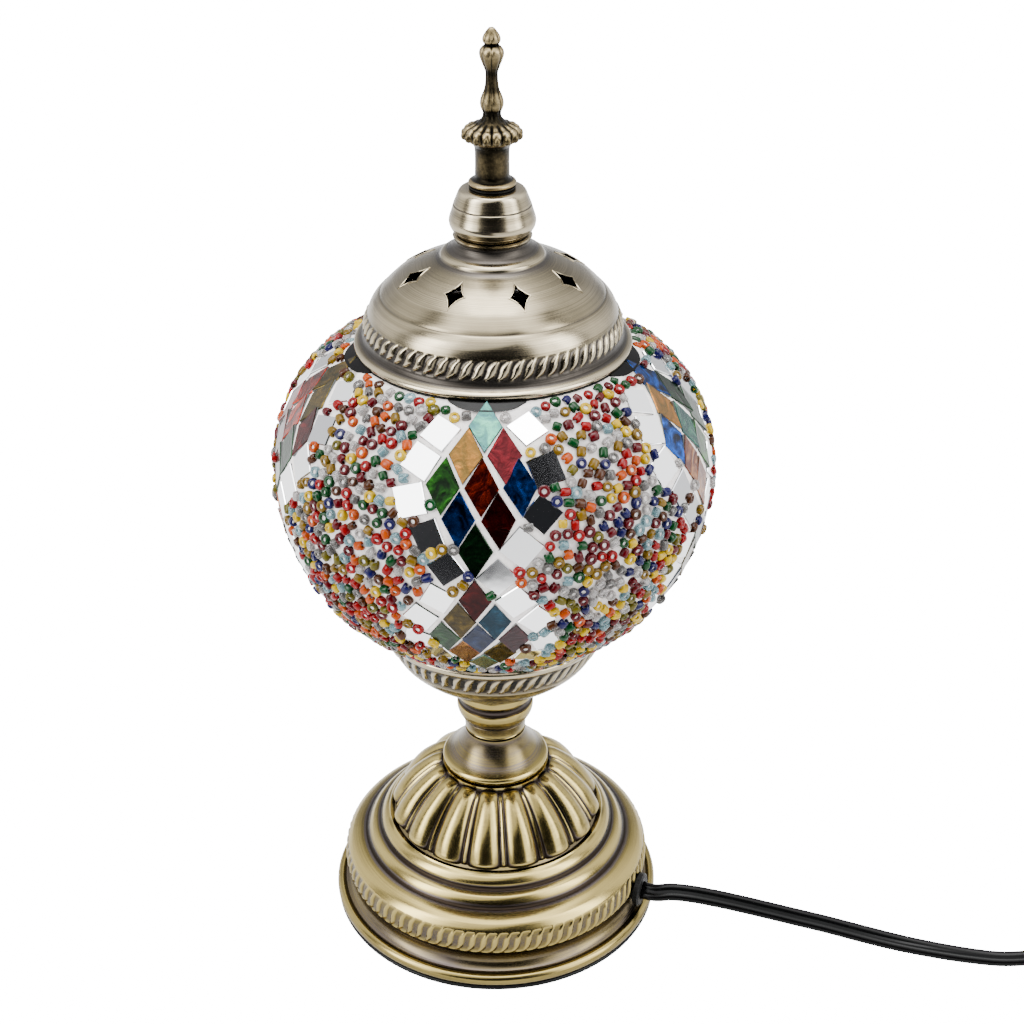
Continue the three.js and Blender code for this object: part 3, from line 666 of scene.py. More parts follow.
def globe_radius(z):
    z = np.asarray(z, float)
    up = z > GLOBE_MID
    power = np.where(up, GLOBE_UP_POWER, 2.0)
    reach = np.clip(np.abs(z - GLOBE_MID) / np.where(up, GLOBE_UP, GLOBE_DOWN), 0.0, 1.0)
    return GLOBE_R * (1 - reach ** power) ** (1 / power)


GLOBE_NECK = [(50.1, 232.0), (48.2, 232.6), (46.4, 233.0)]
NECK_FROM_Z = 231.0


def globe_outline():
    """Radius and height up the globe in fine steps. It curves in under the cap's rim at the top."""
    heights = np.linspace(118.0, NECK_FROM_Z, 2300)
    body = np.stack([globe_radius(heights), heights], axis=1)
    neck = spline([body[-40], body[-1], *GLOBE_NECK], 0.05)
    return np.vstack([body, neck[neck[:, 1] > body[-1, 1] + 0.01]])


OUTLINE = globe_outline()
OUTLINE_N = side_normals(OUTLINE)
OUTLINE_T = np.concatenate([[0.0], np.cumsum(steps(OUTLINE))])  # mm up the outline from the widest point
OUTLINE_T -= np.interp(GLOBE_MID, OUTLINE[:, 1], OUTLINE_T)


def outline_r(t):
    """The globe's radius t mm up the outline."""
    return np.interp(t, OUTLINE_T, OUTLINE[:, 0])


def globe_frames(azimuth, t):
    """Places and local axes (round, up, out) of points at azimuths in radians, t mm up the outline."""
    r, z, nr, nz = (np.interp(t, OUTLINE_T, column) for column in
                    (OUTLINE[:, 0], OUTLINE[:, 1], OUTLINE_N[:, 0], OUTLINE_N[:, 1]))
    s, c = np.sin(azimuth), np.cos(azimuth)
    out = np.stack([nr * s, -nr * c, nz], axis=-1)
    around = np.stack([c, s, np.zeros_like(s)], axis=-1)
    return np.stack([r * s, -r * c, z], axis=-1), around, np.cross(out, around), out


def on_globe(azimuth, t, height=0.0):
    place, around, along, out = (Vector(v) for v in globe_frames(np.float64(azimuth), np.float64(t)))
    return place + out * height, around, along, out


def outline_line(low, high, depth, step):
    """The stretch of the outline between two heights, some depth inside it, in even steps."""
    part = (OUTLINE[:, 1] >= low) & (OUTLINE[:, 1] <= high)
    line = OUTLINE[part] - OUTLINE_N[part] * depth
    far = np.concatenate([[0.0], np.cumsum(steps(line))])
    even = np.linspace(0, far[-1], max(2, int(far[-1] / step)))
    return np.stack([np.interp(even, far, line[:, k]) for k in (0, 1)], axis=1)


GROUT_DEEP = 1.5  # how far the face of the grout lies inside the outline that the tiles follow
GROUT_BACK = 3.0
GLASS_DEEP = (3.3, 5.7)  # outside and inside
NECK_GROUT_RISE = 1.0
TILE_DEEP = 1.2
MOSAIC_LOW_Z = 127.0
MOSAIC_HIGH_Z = 233.1
GLASS_LOW_Z = 125.3
CAP_RING = [(42.8, 231.9), (45.4, 231.9), (45.8, 232.2), (45.7, 232.8), (45.2, 232.95), (42.8, 232.95)]


def lumps(angle, _r, z):
    """Grout that was smoothed by hand."""
    return 0.10 * np.sin(angle * 61 + z * 0.9) * np.sin(angle * 37 - z * 1.3 + 1.0)


def build_globe_shells():
    face = outline_line(MOSAIC_LOW_Z, MOSAIC_HIGH_Z, GROUT_DEEP, 0.8)
    face[:, 1] += NECK_GROUT_RISE * ramp_up(-face[:, 0], -50.5, -48.5)
    back = outline_line(MOSAIC_LOW_Z, MOSAIC_HIGH_Z, GROUT_BACK, 4.0)[::-1]
    turned("grout_skin", "mosaic_skin", "globe", "mosaic", face, back, 420, GROUT, lumps)
    face, back = (outline_line(GLASS_LOW_Z, MOSAIC_HIGH_Z, depth, 2.0) for depth in GLASS_DEEP)
    turned("globe_blown", "globe_glass", "globe", "clear_glass", face, back[::-1], 160, GLOBE_GLASS)
    turned("cap_ring", "top_gasket", "globe", "black_rubber", spline(CAP_RING, 0.3),
           [(42.6, 232.8), (42.6, 232.0)], 200, RUBBER)


build_globe_shells()

# A medallion is a lattice of tall diamonds, edged with square mirrors. Diamonds are given as rows from the
# top: how far up the outline the row is, and for each diamond its place across and its colour.
DIAMOND_WIDE = 10.9
DIAMOND_TALL = 18.5
LOW_WIDE = 10.5
LOW_TALL = 16.9
CENTRE_ROWS = [
    (52.6, [(1.3, "teal")]),
    (42.5, [(-4.6, "gold"), (7.6, "red")]),
    (32.0, [(-11.4, "green"), (0.9, "ember"), (13.1, "blue")]),
    (21.7, [(-6.2, "blue"), (6.6, "dark_red")]),
    (11.4, [(-0.8, "dark_green")]),
    (-6.9, [(-1.1, "wine")]),
    (-16.3, [(-6.3, "umber"), (5.3, "petrol")]),
    (-25.7, [(-11.6, "moss"), (-0.4, "slate"), (11.6, "plum")]),
    (-35.0, [(-5.4, "amber"), (6.4, "olive")]),
    (-44.2, [(0.6, "teal")]),
]
# A grey square uses the darker copy of the mirror: painted shade where the square shows a dark reflection.
SQUARES = [  # across, up, turn in degrees, side, mirror
    (-13.2, 49.6, -26, 9.3, "bright"),
    (-19.0, 39.2, -23, 9.7, "bright"),
    (-22.2, 26.0, 21, 9.9, "bright"),
    (-16.4, 15.4, 27, 9.2, "grey"),
    (-10.2, 4.7, 38, 9.0, "grey"),
    (14.6, 51.4, 32, 9.2, "bright"),
    (21.2, 37.0, 14, 9.8, "grey"),
    (20.2, 23.0, 45, 9.6, "bright"),
    (13.8, 12.2, 48, 10.4, "bright"),
    (6.4, 2.2, 46, 9.6, "bright"),
    (-13.2, -7.2, -28, 9.0, "bright"),
    (-19.2, -16.4, -37, 9.0, "bright"),
    (-21.4, -28.2, -20, 8.6, "bright"),
    (12.2, -7.4, 38, 9.4, "bright"),
    (18.9, -16.2, 45, 9.3, "bright"),
    (21.4, -28.6, 24, 8.6, "bright"),
    (-14.4, -37.8, 20, 8.0, "bright"),
    (15.6, -38.0, -20, 8.0, "bright"),
]
CUT_ERROR = 0.25  # mm that a tile's corner may be out of place
TILE_REACH = 14.0  # mm, further than any tile reaches from its middle
MEDALLIONS = 5
MEDALLION_AT = math.radians(-3.3) + round_angles(MEDALLIONS)
UPPER_PALETTE = ["teal", "gold", "red", "green", "ember", "blue", "dark_red", "dark_green", "amber",
                 "olive"]
LOWER_PALETTE = ["wine", "umber", "petrol", "moss", "slate", "plum", "amber", "olive", "teal"]


def tile(azimuth, across, up, outline, turn_deg, tilt):
    """Points and faces of one flat tile with a bevelled face, set in the globe's surface."""
    place, around, along, out = on_globe(azimuth + across / outline_r(up), up, -TILE_DEEP)
    c, s = math.cos(math.radians(turn_deg)), math.sin(math.radians(turn_deg))
    out = (out + around * tilt[0] + along * tilt[1]).normalized()
    around = (around - out * around.dot(out)).normalized()
    along = out.cross(around)
    loops = []
    for shrink, depth in ((0.0, 1.9), (0.0, 0.28), (0.28, 0.0)):
        loop = []
        for x, y in outline:
            far = math.hypot(x, y)
            x, y = x * (1 - shrink / far), y * (1 - shrink / far)
            loop.append(place + around * (x * c - y * s) + along * (x * s + y * c) - out * depth)
        loops.append(loop)
    corners = len(outline)
    return [p for loop in loops for p in loop], end_faces(3, corners) + grid_faces(3, corners)


def hand_cut(corners):
    """The corners of a tile, each a little out of place."""
    jitter = RNG.uniform(-CUT_ERROR, CUT_ERROR, (4, 2))
    return [(x + dx, y + dy) for (x, y), (dx, dy) in zip(corners, jitter)]


def diamond(wide, tall):
    return hand_cut(((0, -tall / 2), (wide / 2, 0), (0, tall / 2), (-wide / 2, 0)))


def square(side):
    h = side / 2
    return hand_cut(((-h, -h), (h, -h), (h, h), (-h, h)))


def medallion_tiles():
    """Every tile: medallion number, place, outline, turn and finish."""
    rows = []
    for k in range(MEDALLIONS):
        for up, cells in CENTRE_ROWS:
            for across, color in cells:
                if k:
                    palette = UPPER_PALETTE if up > 0 else LOWER_PALETTE
                    color = palette[RNG.integers(len(palette))]
                size = (DIAMOND_WIDE, DIAMOND_TALL) if up > 0 else (LOW_WIDE, LOW_TALL)
                rows.append((k, across, up, diamond(*size), 0.0, color))
        for across, up, turn, side, finish in SQUARES:
            rows.append((k, across, up, square(side), turn + (RNG.uniform(-4, 4) if k else 0.0), finish))
    return rows


def build_tiles(rows):
    """One piece for each medallion."""
    finishes = [*TILE_COLORS, "bright", "grey", "edge"]
    materials = [*TILE_GLASS.values(), MIRROR, SHADED_MIRROR, EDGE]
    for k in range(MEDALLIONS):
        points, faces, slots = [], [], []
        for number, across, up, outline, turn, finish in rows:
            if number != k:
                continue
            tilt = RNG.normal(0.0, 0.015 if k else 0.004, 2)
            tile_points, tile_faces = tile(MEDALLION_AT[k], across, up, outline, turn, tilt)
            faces += [[len(points) + i for i in face] for face in tile_faces]
            points += tile_points
            face, edge = finishes.index(finish), finishes.index("edge")
            slots += [face] * 2 + [edge] * len(outline) + [face] * len(outline)  # ends, sides, bevel
        mesh = mesh_of(f"medallion_{k + 1}", [tuple(p) for p in points], faces, *materials)
        mesh.polygons.foreach_set("material_index", slots)
        own(f"medallion_{k + 1}", mesh, "globe", smooth=1.0)


def clear_of_tiles(rows, azimuth, t):
    """Which of many points are clear of every tile by a bead's radius or so."""
    clear = np.ones(len(t), bool)
    for number, across, up, outline, turn, _ in rows:
        s = wrap((azimuth - MEDALLION_AT[number]) / ROUND) * ROUND * outline_r(up) - across
        near = np.nonzero(np.hypot(s, t - up) < TILE_REACH)[0]
        c, sn = math.cos(math.radians(turn)), math.sin(math.radians(turn))
        x, y = s[near] * c + (t[near] - up) * sn, (t[near] - up) * c - s[near] * sn
        outside = np.full(len(near), -1e9)
        for (x0, y0), (x1, y1) in zip(outline, outline[1:] + outline[:1]):
            long = math.hypot(x1 - x0, y1 - y0)
            outside = np.maximum(outside, ((x - x0) * (y1 - y0) - (y - y0) * (x1 - x0)) / long)
        clear[near[outside < BEAD_TILE_GAP]] = False
    return clear


# The black strip over each medallion under the cap's rim: the dark bare glass there, with the rim's shadow on
# it as painted shade.
SHADE_LIP_R = 50.0
SHADE_LIP_HALF = 13.5  # mm along the globe to each side of its middle
SHADE_LIP_TURN = 1.3 / SHADE_LIP_R  # its middle, past the medallion's
SHADE_LIP_STEPS = 24
BEAD_TRIES = 160000
BEAD_LEAST_APART = 3.1  # mm between middles, when they are thrown and at the end
BEAD_APART = 3.85  # what they are pushed towards
BEAD_PUSHES = 16
BEAD_TILE_GAP = 1.35  # from a bead's middle to a tile


def thinned(places, apart):
    """Indices of places kept when each must be at least apart from those kept before it."""
    near, kept = {}, []
    cells = np.floor(places / apart).astype(int)
    for index, (place, cell) in enumerate(zip(places, cells)):
        x, y, z = cell
        close = (other for i in (-1, 0, 1) for j in (-1, 0, 1) for k in (-1, 0, 1)
                 for other in near.get((x + i, y + j, z + k), ()))
        if all(((place - other) ** 2).sum() >= apart ** 2 for other in close):
            near.setdefault((x, y, z), []).append(place)
            kept.append(index)
    return kept


def under_shade_lip(azimuth, t):
    """Which points lie where the black strip of dark glass and painted shade shows over a medallion."""
    pitch = ROUND / MEDALLIONS
    across = wrap((azimuth - MEDALLION_AT[0] - SHADE_LIP_TURN) / pitch) * pitch * SHADE_LIP_R
    return (np.abs(across) < SHADE_LIP_HALF) & (outline_r(t) < SHADE_LIP_R + 1.6)


def scatter_beads(rows):
    """Azimuth and height along the outline of every bead: thrown at random, then pushed apart evenly."""
    t_low, t_high = np.interp((MOSAIC_LOW_Z + 1.2, MOSAIC_HIGH_Z), OUTLINE[:, 1], OUTLINE_T)
    t_high -= 2.0
    draws = RNG.uniform(size=(BEAD_TRIES, 3))
    t = t_low + (t_high - t_low) * draws[:, 0]
    azimuth = ROUND * draws[:, 1]
    even = draws[:, 2] < outline_r(t) / GLOBE_R
    keep = even & clear_of_tiles(rows, azimuth, t) & ~under_shade_lip(azimuth, t)
    azimuth, t = azimuth[keep], t[keep]
    kept = thinned(globe_frames(azimuth, t)[0], BEAD_LEAST_APART)
    azimuth, t = azimuth[kept], t[kept]
    for _ in range(BEAD_PUSHES):
        places, around, along, _out = globe_frames(azimuth, t)
        tree = KDTree(len(places))
        for index, place in enumerate(places):
            tree.insert(place, index)
        tree.balance()
        push = np.zeros_like(places)
        for index, place in enumerate(places):
            for other, other_index, far in tree.find_range(place, BEAD_APART):
                if other_index != index:
                    push[index] += (place - np.array(other)) / max(far, 0.1) * (BEAD_APART - far) * 0.3
        radius = outline_r(t)
        new_azimuth = azimuth + (push * around).sum(axis=1) / radius
        new_t = np.clip(t + (push * along).sum(axis=1), t_low, t_high)
        ok = clear_of_tiles(rows, new_azimuth, new_t)
        azimuth, t = np.where(ok, new_azimuth, azimuth), np.where(ok, new_t, t)
    kept = thinned(globe_frames(azimuth, t)[0], BEAD_LEAST_APART)
    return azimuth[kept], t[kept]


BEAD_SIDES = 12
BEAD_STANDING = 0.56  # share of the beads that stand on their end
BEAD_R = (1.62, 2.02), (1.38, 1.68)  # least and most, of those that stand and those that lie
BEAD_HALF_LONG = (1.00, 1.25), (1.35, 1.75)
BEAD_PROUD = (0.50, 0.45)  # mm of its middle above the grout
BEAD_LEAN = 0.15
BEAD_SECTION = [  # share of the radius and of half the length, round the wall of a bead
    (0.42, 0.35), (0.42, -0.80), (0.62, -1.0), (0.90, -0.88), (1.0, -0.50), (1.0, 0.50), (0.90, 0.88),
    (0.62, 1.0), (0.42, 0.80),
]


def build_beads(azimuth, t):
    """Each bead is a short tube with rounded ends, lying on its side or standing on its end. Grout fills the
    hole of a standing one to below its rim."""
    count = len(t)
    angles = round_angles(BEAD_SIDES)
    section = np.array(BEAD_SECTION)
    tube = np.stack([section[:, :1] * np.cos(angles), section[:, :1] * np.sin(angles),
                     np.repeat(section[:, 1:], BEAD_SIDES, 1)], axis=2).reshape(-1, 3)
    quads = np.array(grid_faces(len(section), BEAD_SIDES, closed=True))
    chance = np.array([bead[3] for bead in BEADS], float)
    kinds = RNG.choice(len(BEADS), size=count, p=chance / chance.sum())
    standing = RNG.random(count) < BEAD_STANDING
    place, around, along, out = globe_frames(azimuth, t)
    lean = RNG.normal(0.0, BEAD_LEAN, (count, 2))
    turn = RNG.uniform(0, ROUND, count)
    up_axis = out + around * lean[:, :1] + along * lean[:, 1:]
    flat_axis = around * np.cos(turn)[:, None] + along * np.sin(turn)[:, None] + out * lean[:, :1] * 0.5
    axis = unit(np.where(standing[:, None], up_axis, flat_axis))
    side = unit(np.cross(axis, np.where(standing[:, None], around, out)))
    other = np.cross(axis, side)
    radius, half = (np.where(standing, *(RNG.uniform(*limits, count) for limits in pair))
                    for pair in (BEAD_R, BEAD_HALF_LONG))
    height = np.where(standing, *BEAD_PROUD) - GROUT_DEEP
    centre = place + out * height[:, None]
    points = (centre[:, None] + tube[None, :, :1] * (side * radius[:, None])[:, None]
              + tube[None, :, 1:2] * (other * radius[:, None])[:, None]
              + tube[None, :, 2:] * (axis * half[:, None])[:, None])
    starts = np.arange(count) * len(tube)
    faces = (quads[None] + starts[:, None, None]).reshape(-1, 4).tolist()
    plugs = [[start + j for j in range(BEAD_SIDES)] for start in starts[standing].tolist()]
    mesh = mesh_of("seed_beads", points.reshape(-1, 3), faces + plugs, *BEAD_MATERIALS, GROUT)
    slots = np.concatenate([np.repeat(kinds, len(quads)), np.full(len(plugs), len(BEADS))])
    mesh.polygons.foreach_set("material_index", slots.astype(np.int32))
    own("seed_beads", mesh, "globe", smooth=60.0)


def build_dark_glass_and_shade_lips():
    """A black strip over each medallion, where no beads cover it: dark bare glass, with the cap rim's shadow
    as painted shade.
    """
    points, faces = [], []
    for k in range(MEDALLIONS):
        strip = (SHADE_LIP_STEPS + 1, 4, len(points))
        faces += grid_faces(*strip) + end_faces(*strip)
        for across in np.linspace(-1, 1, SHADE_LIP_STEPS + 1):
            ease = 1 - abs(across) ** 3
            a = MEDALLION_AT[k] + SHADE_LIP_TURN + across * SHADE_LIP_HALF / SHADE_LIP_R
            for r, z in ((46.0, 232.3), (46.2, 233.2), (46.6 + 3.6 * ease, 233.1 - 1.6 * ease),
                         (46.4 + 3.2 * ease, 231.2)):
                points.append(polar(a, r, z))
    mesh = mesh_of("dark_glass_and_shade_lips", points, faces, VINYL)
    mesh.validate()
    own("dark_glass_and_shade_lips", mesh, "globe")


tile_rows = medallion_tiles()
build_tiles(tile_rows)
build_beads(*scatter_beads(tile_rows))
build_dark_glass_and_shade_lips()

# ------------------------------------------------------------------ the cap, the knob and the finial
CAP_RIM = [
    (44.6, 233.3), (46.0, 233.3), (46.5, 233.9), (46.4, 234.7), (45.8, 235.3), (44.9, 235.7), (44.0, 236.2),
    (43.4, 237.0), (43.1, 238.2), (43.1, 238.2), (42.8, 240.4), (42.3, 242.8), (41.6, 244.9), (41.6, 244.9),
    (41.3, 245.8), (40.7, 247.2), (39.8, 248.7), (38.7, 250.0), (37.8, 250.9), (37.3, 251.2), (37.3, 251.2),
]
CAP_DOME = [
    (36.9, 251.8), (36.2, 252.6), (34.6, 254.2), (32.3, 256.3), (29.0, 258.5), (24.8, 260.6), (20.9, 262.3),
    (18.6, 263.3), (17.5, 264.1), (17.0, 265.0), (16.2, 265.7), (14.7, 266.4), (13.3, 267.7), (12.5, 269.3),
    (12.7, 270.4), (13.0, 270.9), (13.0, 270.9),
]
CAP_TOP = [(12.4, 271.3), (12.4, 271.3), (3.6, 271.3)]
KNOB = [
    (3.6, 271.7), (11.6, 271.7), (11.6, 271.7), (11.9, 272.3), (12.6, 272.7), (13.3, 273.4), (14.0, 274.8),
    (14.2, 276.2), (13.9, 277.6), (13.3, 279.4), (12.8, 281.2), (12.8, 281.2), (12.5, 281.5), (12.6, 281.8),
    (12.6, 281.8), (12.2, 282.8), (11.6, 284.3), (11.0, 285.7), (10.4, 286.4), (9.2, 286.8), (3.6, 286.8),
]
VENTS = 8
VENT_AZIMUTH = math.radians(19.0)
VENT_R = 27.0
VENT_Z = 259.55
VENT_LONG = 6.0
VENT_WIDE = 3.6
VENT_WAIST = (1.5, 1.15)
VENT_SLOPE = math.radians(28.0)
LIP_R = 0.24
LIP_SIDES = 6


def vent_star(grow=0.0):
    """Outline of a vent: four points with hollow sides, as (down the dome, across it)."""
    long, wide = VENT_LONG + grow, VENT_WIDE + grow
    wx, wy = VENT_WAIST[0] + grow * 0.7, VENT_WAIST[1] + grow * 0.7
    corners = [((long, 0), (wx, wy), (0, wide)), ((0, wide), (-wx, wy), (-long, 0)),
               ((-long, 0), (-wx, -wy), (0, -wide)), ((0, -wide), (wx, -wy), (long, 0))]
    outline = []
    for a, b, c in corners:
        for t in np.linspace(0, 1, 9)[:-1]:
            outline.append(((1 - t) ** 2 * a[0] + 2 * t * (1 - t) * b[0] + t * t * c[0],
                            (1 - t) ** 2 * a[1] + 2 * t * (1 - t) * b[1] + t * t * c[1]))
    return outline


def vent_frame(index):
    """Place and axes (down the dome, across, out) of a vent's middle."""
    azimuth = VENT_AZIMUTH + index * ROUND / VENTS
    outwards = Vector(polar(azimuth, 1, 0))
    down = outwards * math.cos(VENT_SLOPE) - Vector((0, 0, math.sin(VENT_SLOPE)))
    out = outwards * math.sin(VENT_SLOPE) + Vector((0, 0, math.cos(VENT_SLOPE)))
    return outwards * VENT_R + Vector((0, 0, VENT_Z)), down, out.cross(down), out


def on_dome(dome, point, out):
    """The point moved along out to the dome's outline."""
    for _ in range(4):
        r = math.hypot(point.x, point.y)
        point = point + out * (float(np.interp(-r, -dome[:, 0], dome[:, 1])) - point.z) * out.z
    return point


def build_vent_lips():
    """The turned edge round each vent, a thin bright bead of metal on the dome."""
    dome = spline(CAP_DOME, 0.2)
    dome = dome[:int(np.argmin(dome[:, 0]))]
    points, faces = [], []
    for index in range(VENTS):
        place, down, across, out = vent_frame(index)
        rim = [on_dome(dome, place + down * x + across * y, out) for x, y in vent_star(LIP_R / 2)]
        faces += grid_faces(len(rim), LIP_SIDES, len(points), closed=True)
        for before, point, after in zip(rim[-1:] + rim, rim, rim[1:] + rim):
            side = (after - before).normalized().cross(out).normalized()
            for a in round_angles(LIP_SIDES):
                points.append(point + side * LIP_R * math.cos(a) + out * LIP_R * math.sin(a))
    mesh = mesh_of("vent_lips", points, faces, PEWTER)
    mark_cavity(mesh, np.full(len(points), 0.72))
    own("vent_lips", mesh, "cap", smooth=60.0)


def build_cap():
    outer = spline(CAP_RIM + CAP_DOME + CAP_TOP, 0.45)
    cap = turned("cap_sheet", "cap_dome", "cap", "pewter_brass", outer, lined(outer, WALL), 660, PEWTER,
                 rope(238.5, 244.7, 66, 0.80, 1.0, 0.38), wear=0.55)
    points, faces = [], []
    for index in range(VENTS):
        place, down, across, out = vent_frame(index)
        star = vent_star()
        prism = (2, len(star), len(points))
        faces += end_faces(*prism) + grid_faces(*prism)
        points += [place + down * x + across * y + out * height for height in (-8, 8) for x, y in star]
    subtract(cap, in_scene("vent_cutter", mesh_of("vent_cutter", points, faces, BRIGHT)))
    build_vent_lips()
    turned("knob_turned", "vase_knob", "cap", "pewter_brass", spline(KNOB, 0.25),
           [(3.55, 286.7), (3.55, 271.8)], 192, PEWTER, wear=0.22, reach=0.9)


build_cap()

FINIAL = [
    (0.05, 299.6), (4.4, 299.6), (4.4, 299.6), (4.4, 287.9), (4.4, 287.9), (7.0, 287.9), (7.7, 288.3),
    (7.7, 289.0), (7.1, 289.5), (6.3, 289.8), (6.3, 289.8), (5.7, 290.6), (5.6, 292.0), (5.6, 299.4),
    (5.8, 300.6), (5.8, 300.6), (6.6, 301.6), (7.8, 302.4), (8.7, 303.4), (9.1, 304.6), (9.1, 305.8),
    (8.5, 306.8), (7.2, 307.2), (7.2, 307.2), (6.3, 307.6), (4.9, 308.2), (3.7, 309.2), (3.0, 310.4),
    (3.0, 311.6), (3.5, 312.8), (3.8, 314.2), (3.6, 315.8), (3.1, 317.2), (2.5, 318.6), (2.15, 320.4),
    (2.0, 322.6), (2.05, 324.2), (2.6, 325.8), (3.4, 327.8), (3.95, 329.8), (3.7, 331.2), (2.8, 332.2),
    (2.1, 332.6), (2.1, 332.6), (2.6, 333.2), (2.9, 334.0), (2.8, 335.0), (2.3, 336.0), (1.7, 336.8),
    (1.3, 337.3), (0.8, 337.8), (0.05, 338.0),
]
COLLAR_BEADS = 16
COLLAR_R = 8.7
COLLAR_Z = 304.3
COLLAR_BEAD = (1.15, 1.35, 1.5, 1.0)  # its half sizes


def finial_relief(angle, r, z):
    """Scallops round the collar, and lobes on the stem, its bulbs and the bud."""
    collar = ramp_up(z, 302.2, 303.6) * (1 - ramp_up(z, 307.6, 308.6))
    scallops = -0.75 * (1 - np.abs(np.sin(angle * COLLAR_BEADS / 2))) ** 1.5
    stem = ramp_up(z, 308.5, 309.5) * (1 - ramp_up(z, 336.0, 337.0))
    lobes = -0.30 * (1 - np.abs(np.sin(angle * 3.5))) ** 2
    outside = r > 1.0
    return np.where(outside, collar * scallops + stem * lobes * np.clip(r / 3.0, 0.3, 1.0), 0.0)


def build_finial():
    turned("finial_cast", "finial", "finial", "cast_brass", spline(FINIAL, 0.28), [], 140, CAST,
           finial_relief, wear=0.18, reach=0.7, capped=True, smooth=40.0)
    bm = bmesh.new()
    for index in range(COLLAR_BEADS):
        azimuth = ROUND * (index + 0.5) / COLLAR_BEADS
        place = Vector(polar(azimuth, COLLAR_R, COLLAR_Z)) * MM
        shape = Matrix.Translation(place) @ Matrix.Rotation(azimuth, 4, "Z") @ Matrix.Diagonal(COLLAR_BEAD)
        bmesh.ops.create_uvsphere(bm, u_segments=14, v_segments=10, radius=MM, matrix=shape)
    beads = mesh_of("collar_beads", np.empty((0, 3)), [], CAST)
    bm.to_mesh(beads)
    bm.free()
    mark_cavity(beads, np.full(len(beads.vertices), 0.62))
    own("collar_beads", beads, "finial")


build_finial()

# ------------------------------------------------------------------ the flex
FLEX_WIDE = 6.6
FLEX_THICK = 3.4
GROMMET_FACE = 60.9
COIL = (309.0, -5.0)
COIL_OUTER_R = 49.2
COIL_PITCH = 3.44
COIL_TURNS = 6.25
COIL_Z = 3.6
SWITCH = (243.0, -53.0)
SWITCH_TURN = math.radians(-3.0)
SWITCH_SPLIT = 7.2
SWITCH_LONG = 56.0
SWITCH_WIDE = 22.0
SWITCH_CORNER = 6.0
SWITCH_BASE = [(0.3, 1.4), (0.7, 0.5), (1.5, 0.0), (6.6, 0.0), (7.05, 0.45)]  # heights and insets
SWITCH_COVER = [(7.35, 0.45), (7.8, 0.0), (12.2, 0.1), (13.6, 0.6), (14.5, 1.4), (14.9, 2.3), (15.0, 3.2)]
WELL = (18.2, 10.0)
WELL_FLOOR = 8.6
PLUG_Z = 13.2
PLUG_TURN = math.radians(185.0)
RELIEF_LONG = 21.5
RIB_PITCH = 3.6
RIB_HIGH = 0.42
PLUG_BODY = [  # along it, half its width, half its thickness
    (22.0, 5.0, 4.3), (23.4, 6.2, 4.9), (25.0, 9.4, 5.6), (27.0, 11.2, 5.95), (30.0, 11.5, 6.0),
    (34.0, 10.7, 5.7), (38.0, 10.7, 5.7), (42.0, 11.4, 6.0), (44.6, 11.4, 5.9), (45.6, 11.0, 5.5),
    (46.0, 10.2, 4.8),
]


def switch_line(s, z):
    return (SWITCH[0] + s * math.cos(SWITCH_TURN), SWITCH[1] + s * math.sin(SWITCH_TURN), z)


def coil_point(turn_deg, r, z):
    x, y, z = polar(math.radians(turn_deg), r, z)
    return COIL[0] + x, COIL[1] + y, z


def loft(name, rings, material):
    """A closed body through rings of equally many points."""
    count = rings.shape[:2]
    return mesh_of(name, rings.reshape(-1, 3), grid_faces(*count) + end_faces(*count), material)


def flex(name, points, rolls, replaces):
    """A flat twin flex along points: two round cores side by side with a groove between them. Each point has
    a roll: 0 lays the flex flat and 90 stands it on its edge."""
    path = spline(np.column_stack([np.asarray(points, float), np.asarray(rolls, float)]), 2.0)
    centre, roll = path[:, :3], np.radians(path[:, 3])
    along = unit(np.gradient(centre, axis=0))
    side = unit(np.cross(along, (0.0, 0.0, 1.0)))
    up = np.cross(side, along)
    wide = side * np.cos(roll)[:, None] + up * np.sin(roll)[:, None]
    thin = up * np.cos(roll)[:, None] - side * np.sin(roll)[:, None]
    core, shift = FLEX_THICK / 2, (FLEX_WIDE - FLEX_THICK) / 2
    half = [(shift + core * math.cos(a), core * math.sin(a)) for a in np.linspace(-2.35, 2.35, 12)]
    section = np.array(half + [(-x, -y) for x, y in half])
    rings = centre[:, None] + wide[:, None] * section[None, :, :1] + thin[:, None] * section[None, :, 1:]
    mesh = loft(name, rings, VINYL)
    bm = bmesh.new()
    bm.from_mesh(mesh)
    bmesh.ops.recalc_face_normals(bm, faces=bm.faces)
    bm.to_mesh(mesh)
    bm.free()
    piece = own(name, mesh, "stand", replaces, 30.0)
    return piece, [tuple(p) for p in centre * MM], float(steps(centre).sum()) * MM


SWITCH_END = SWITCH_LONG / 2 + 0.3
RUN = [
    polar(CORD_AZIMUTH, GROMMET_FACE + 0.3, 13.7), polar(CORD_AZIMUTH, 66, 14.1), (67.2, -24.6, 14.4),
    (74.5, -25.2, 14.0),
    (84.0, -26.3, 12.7), (94.0, -27.6, 11.0), (104.5, -29.0, 9.0), (115.0, -30.6, 7.1), (126.0, -32.6, 5.4),
    (138.0, -35.4, 3.7), (150.0, -38.6, 2.5), (163.0, -42.3, 2.1), (177.0, -45.8, 2.1), (190.0, -48.4, 2.7),
    (202.0, -50.2, 5.2), switch_line(-SWITCH_END - 3, SWITCH_SPLIT), switch_line(-SWITCH_END, SWITCH_SPLIT),
]
RUN_ROLLS = [-38] * 10 + [-30, -16, -6] + [0] * 4  # it hangs a little twisted
run, run_path, run_length = flex("flex_run", RUN, RUN_ROLLS, ["cord_run"])

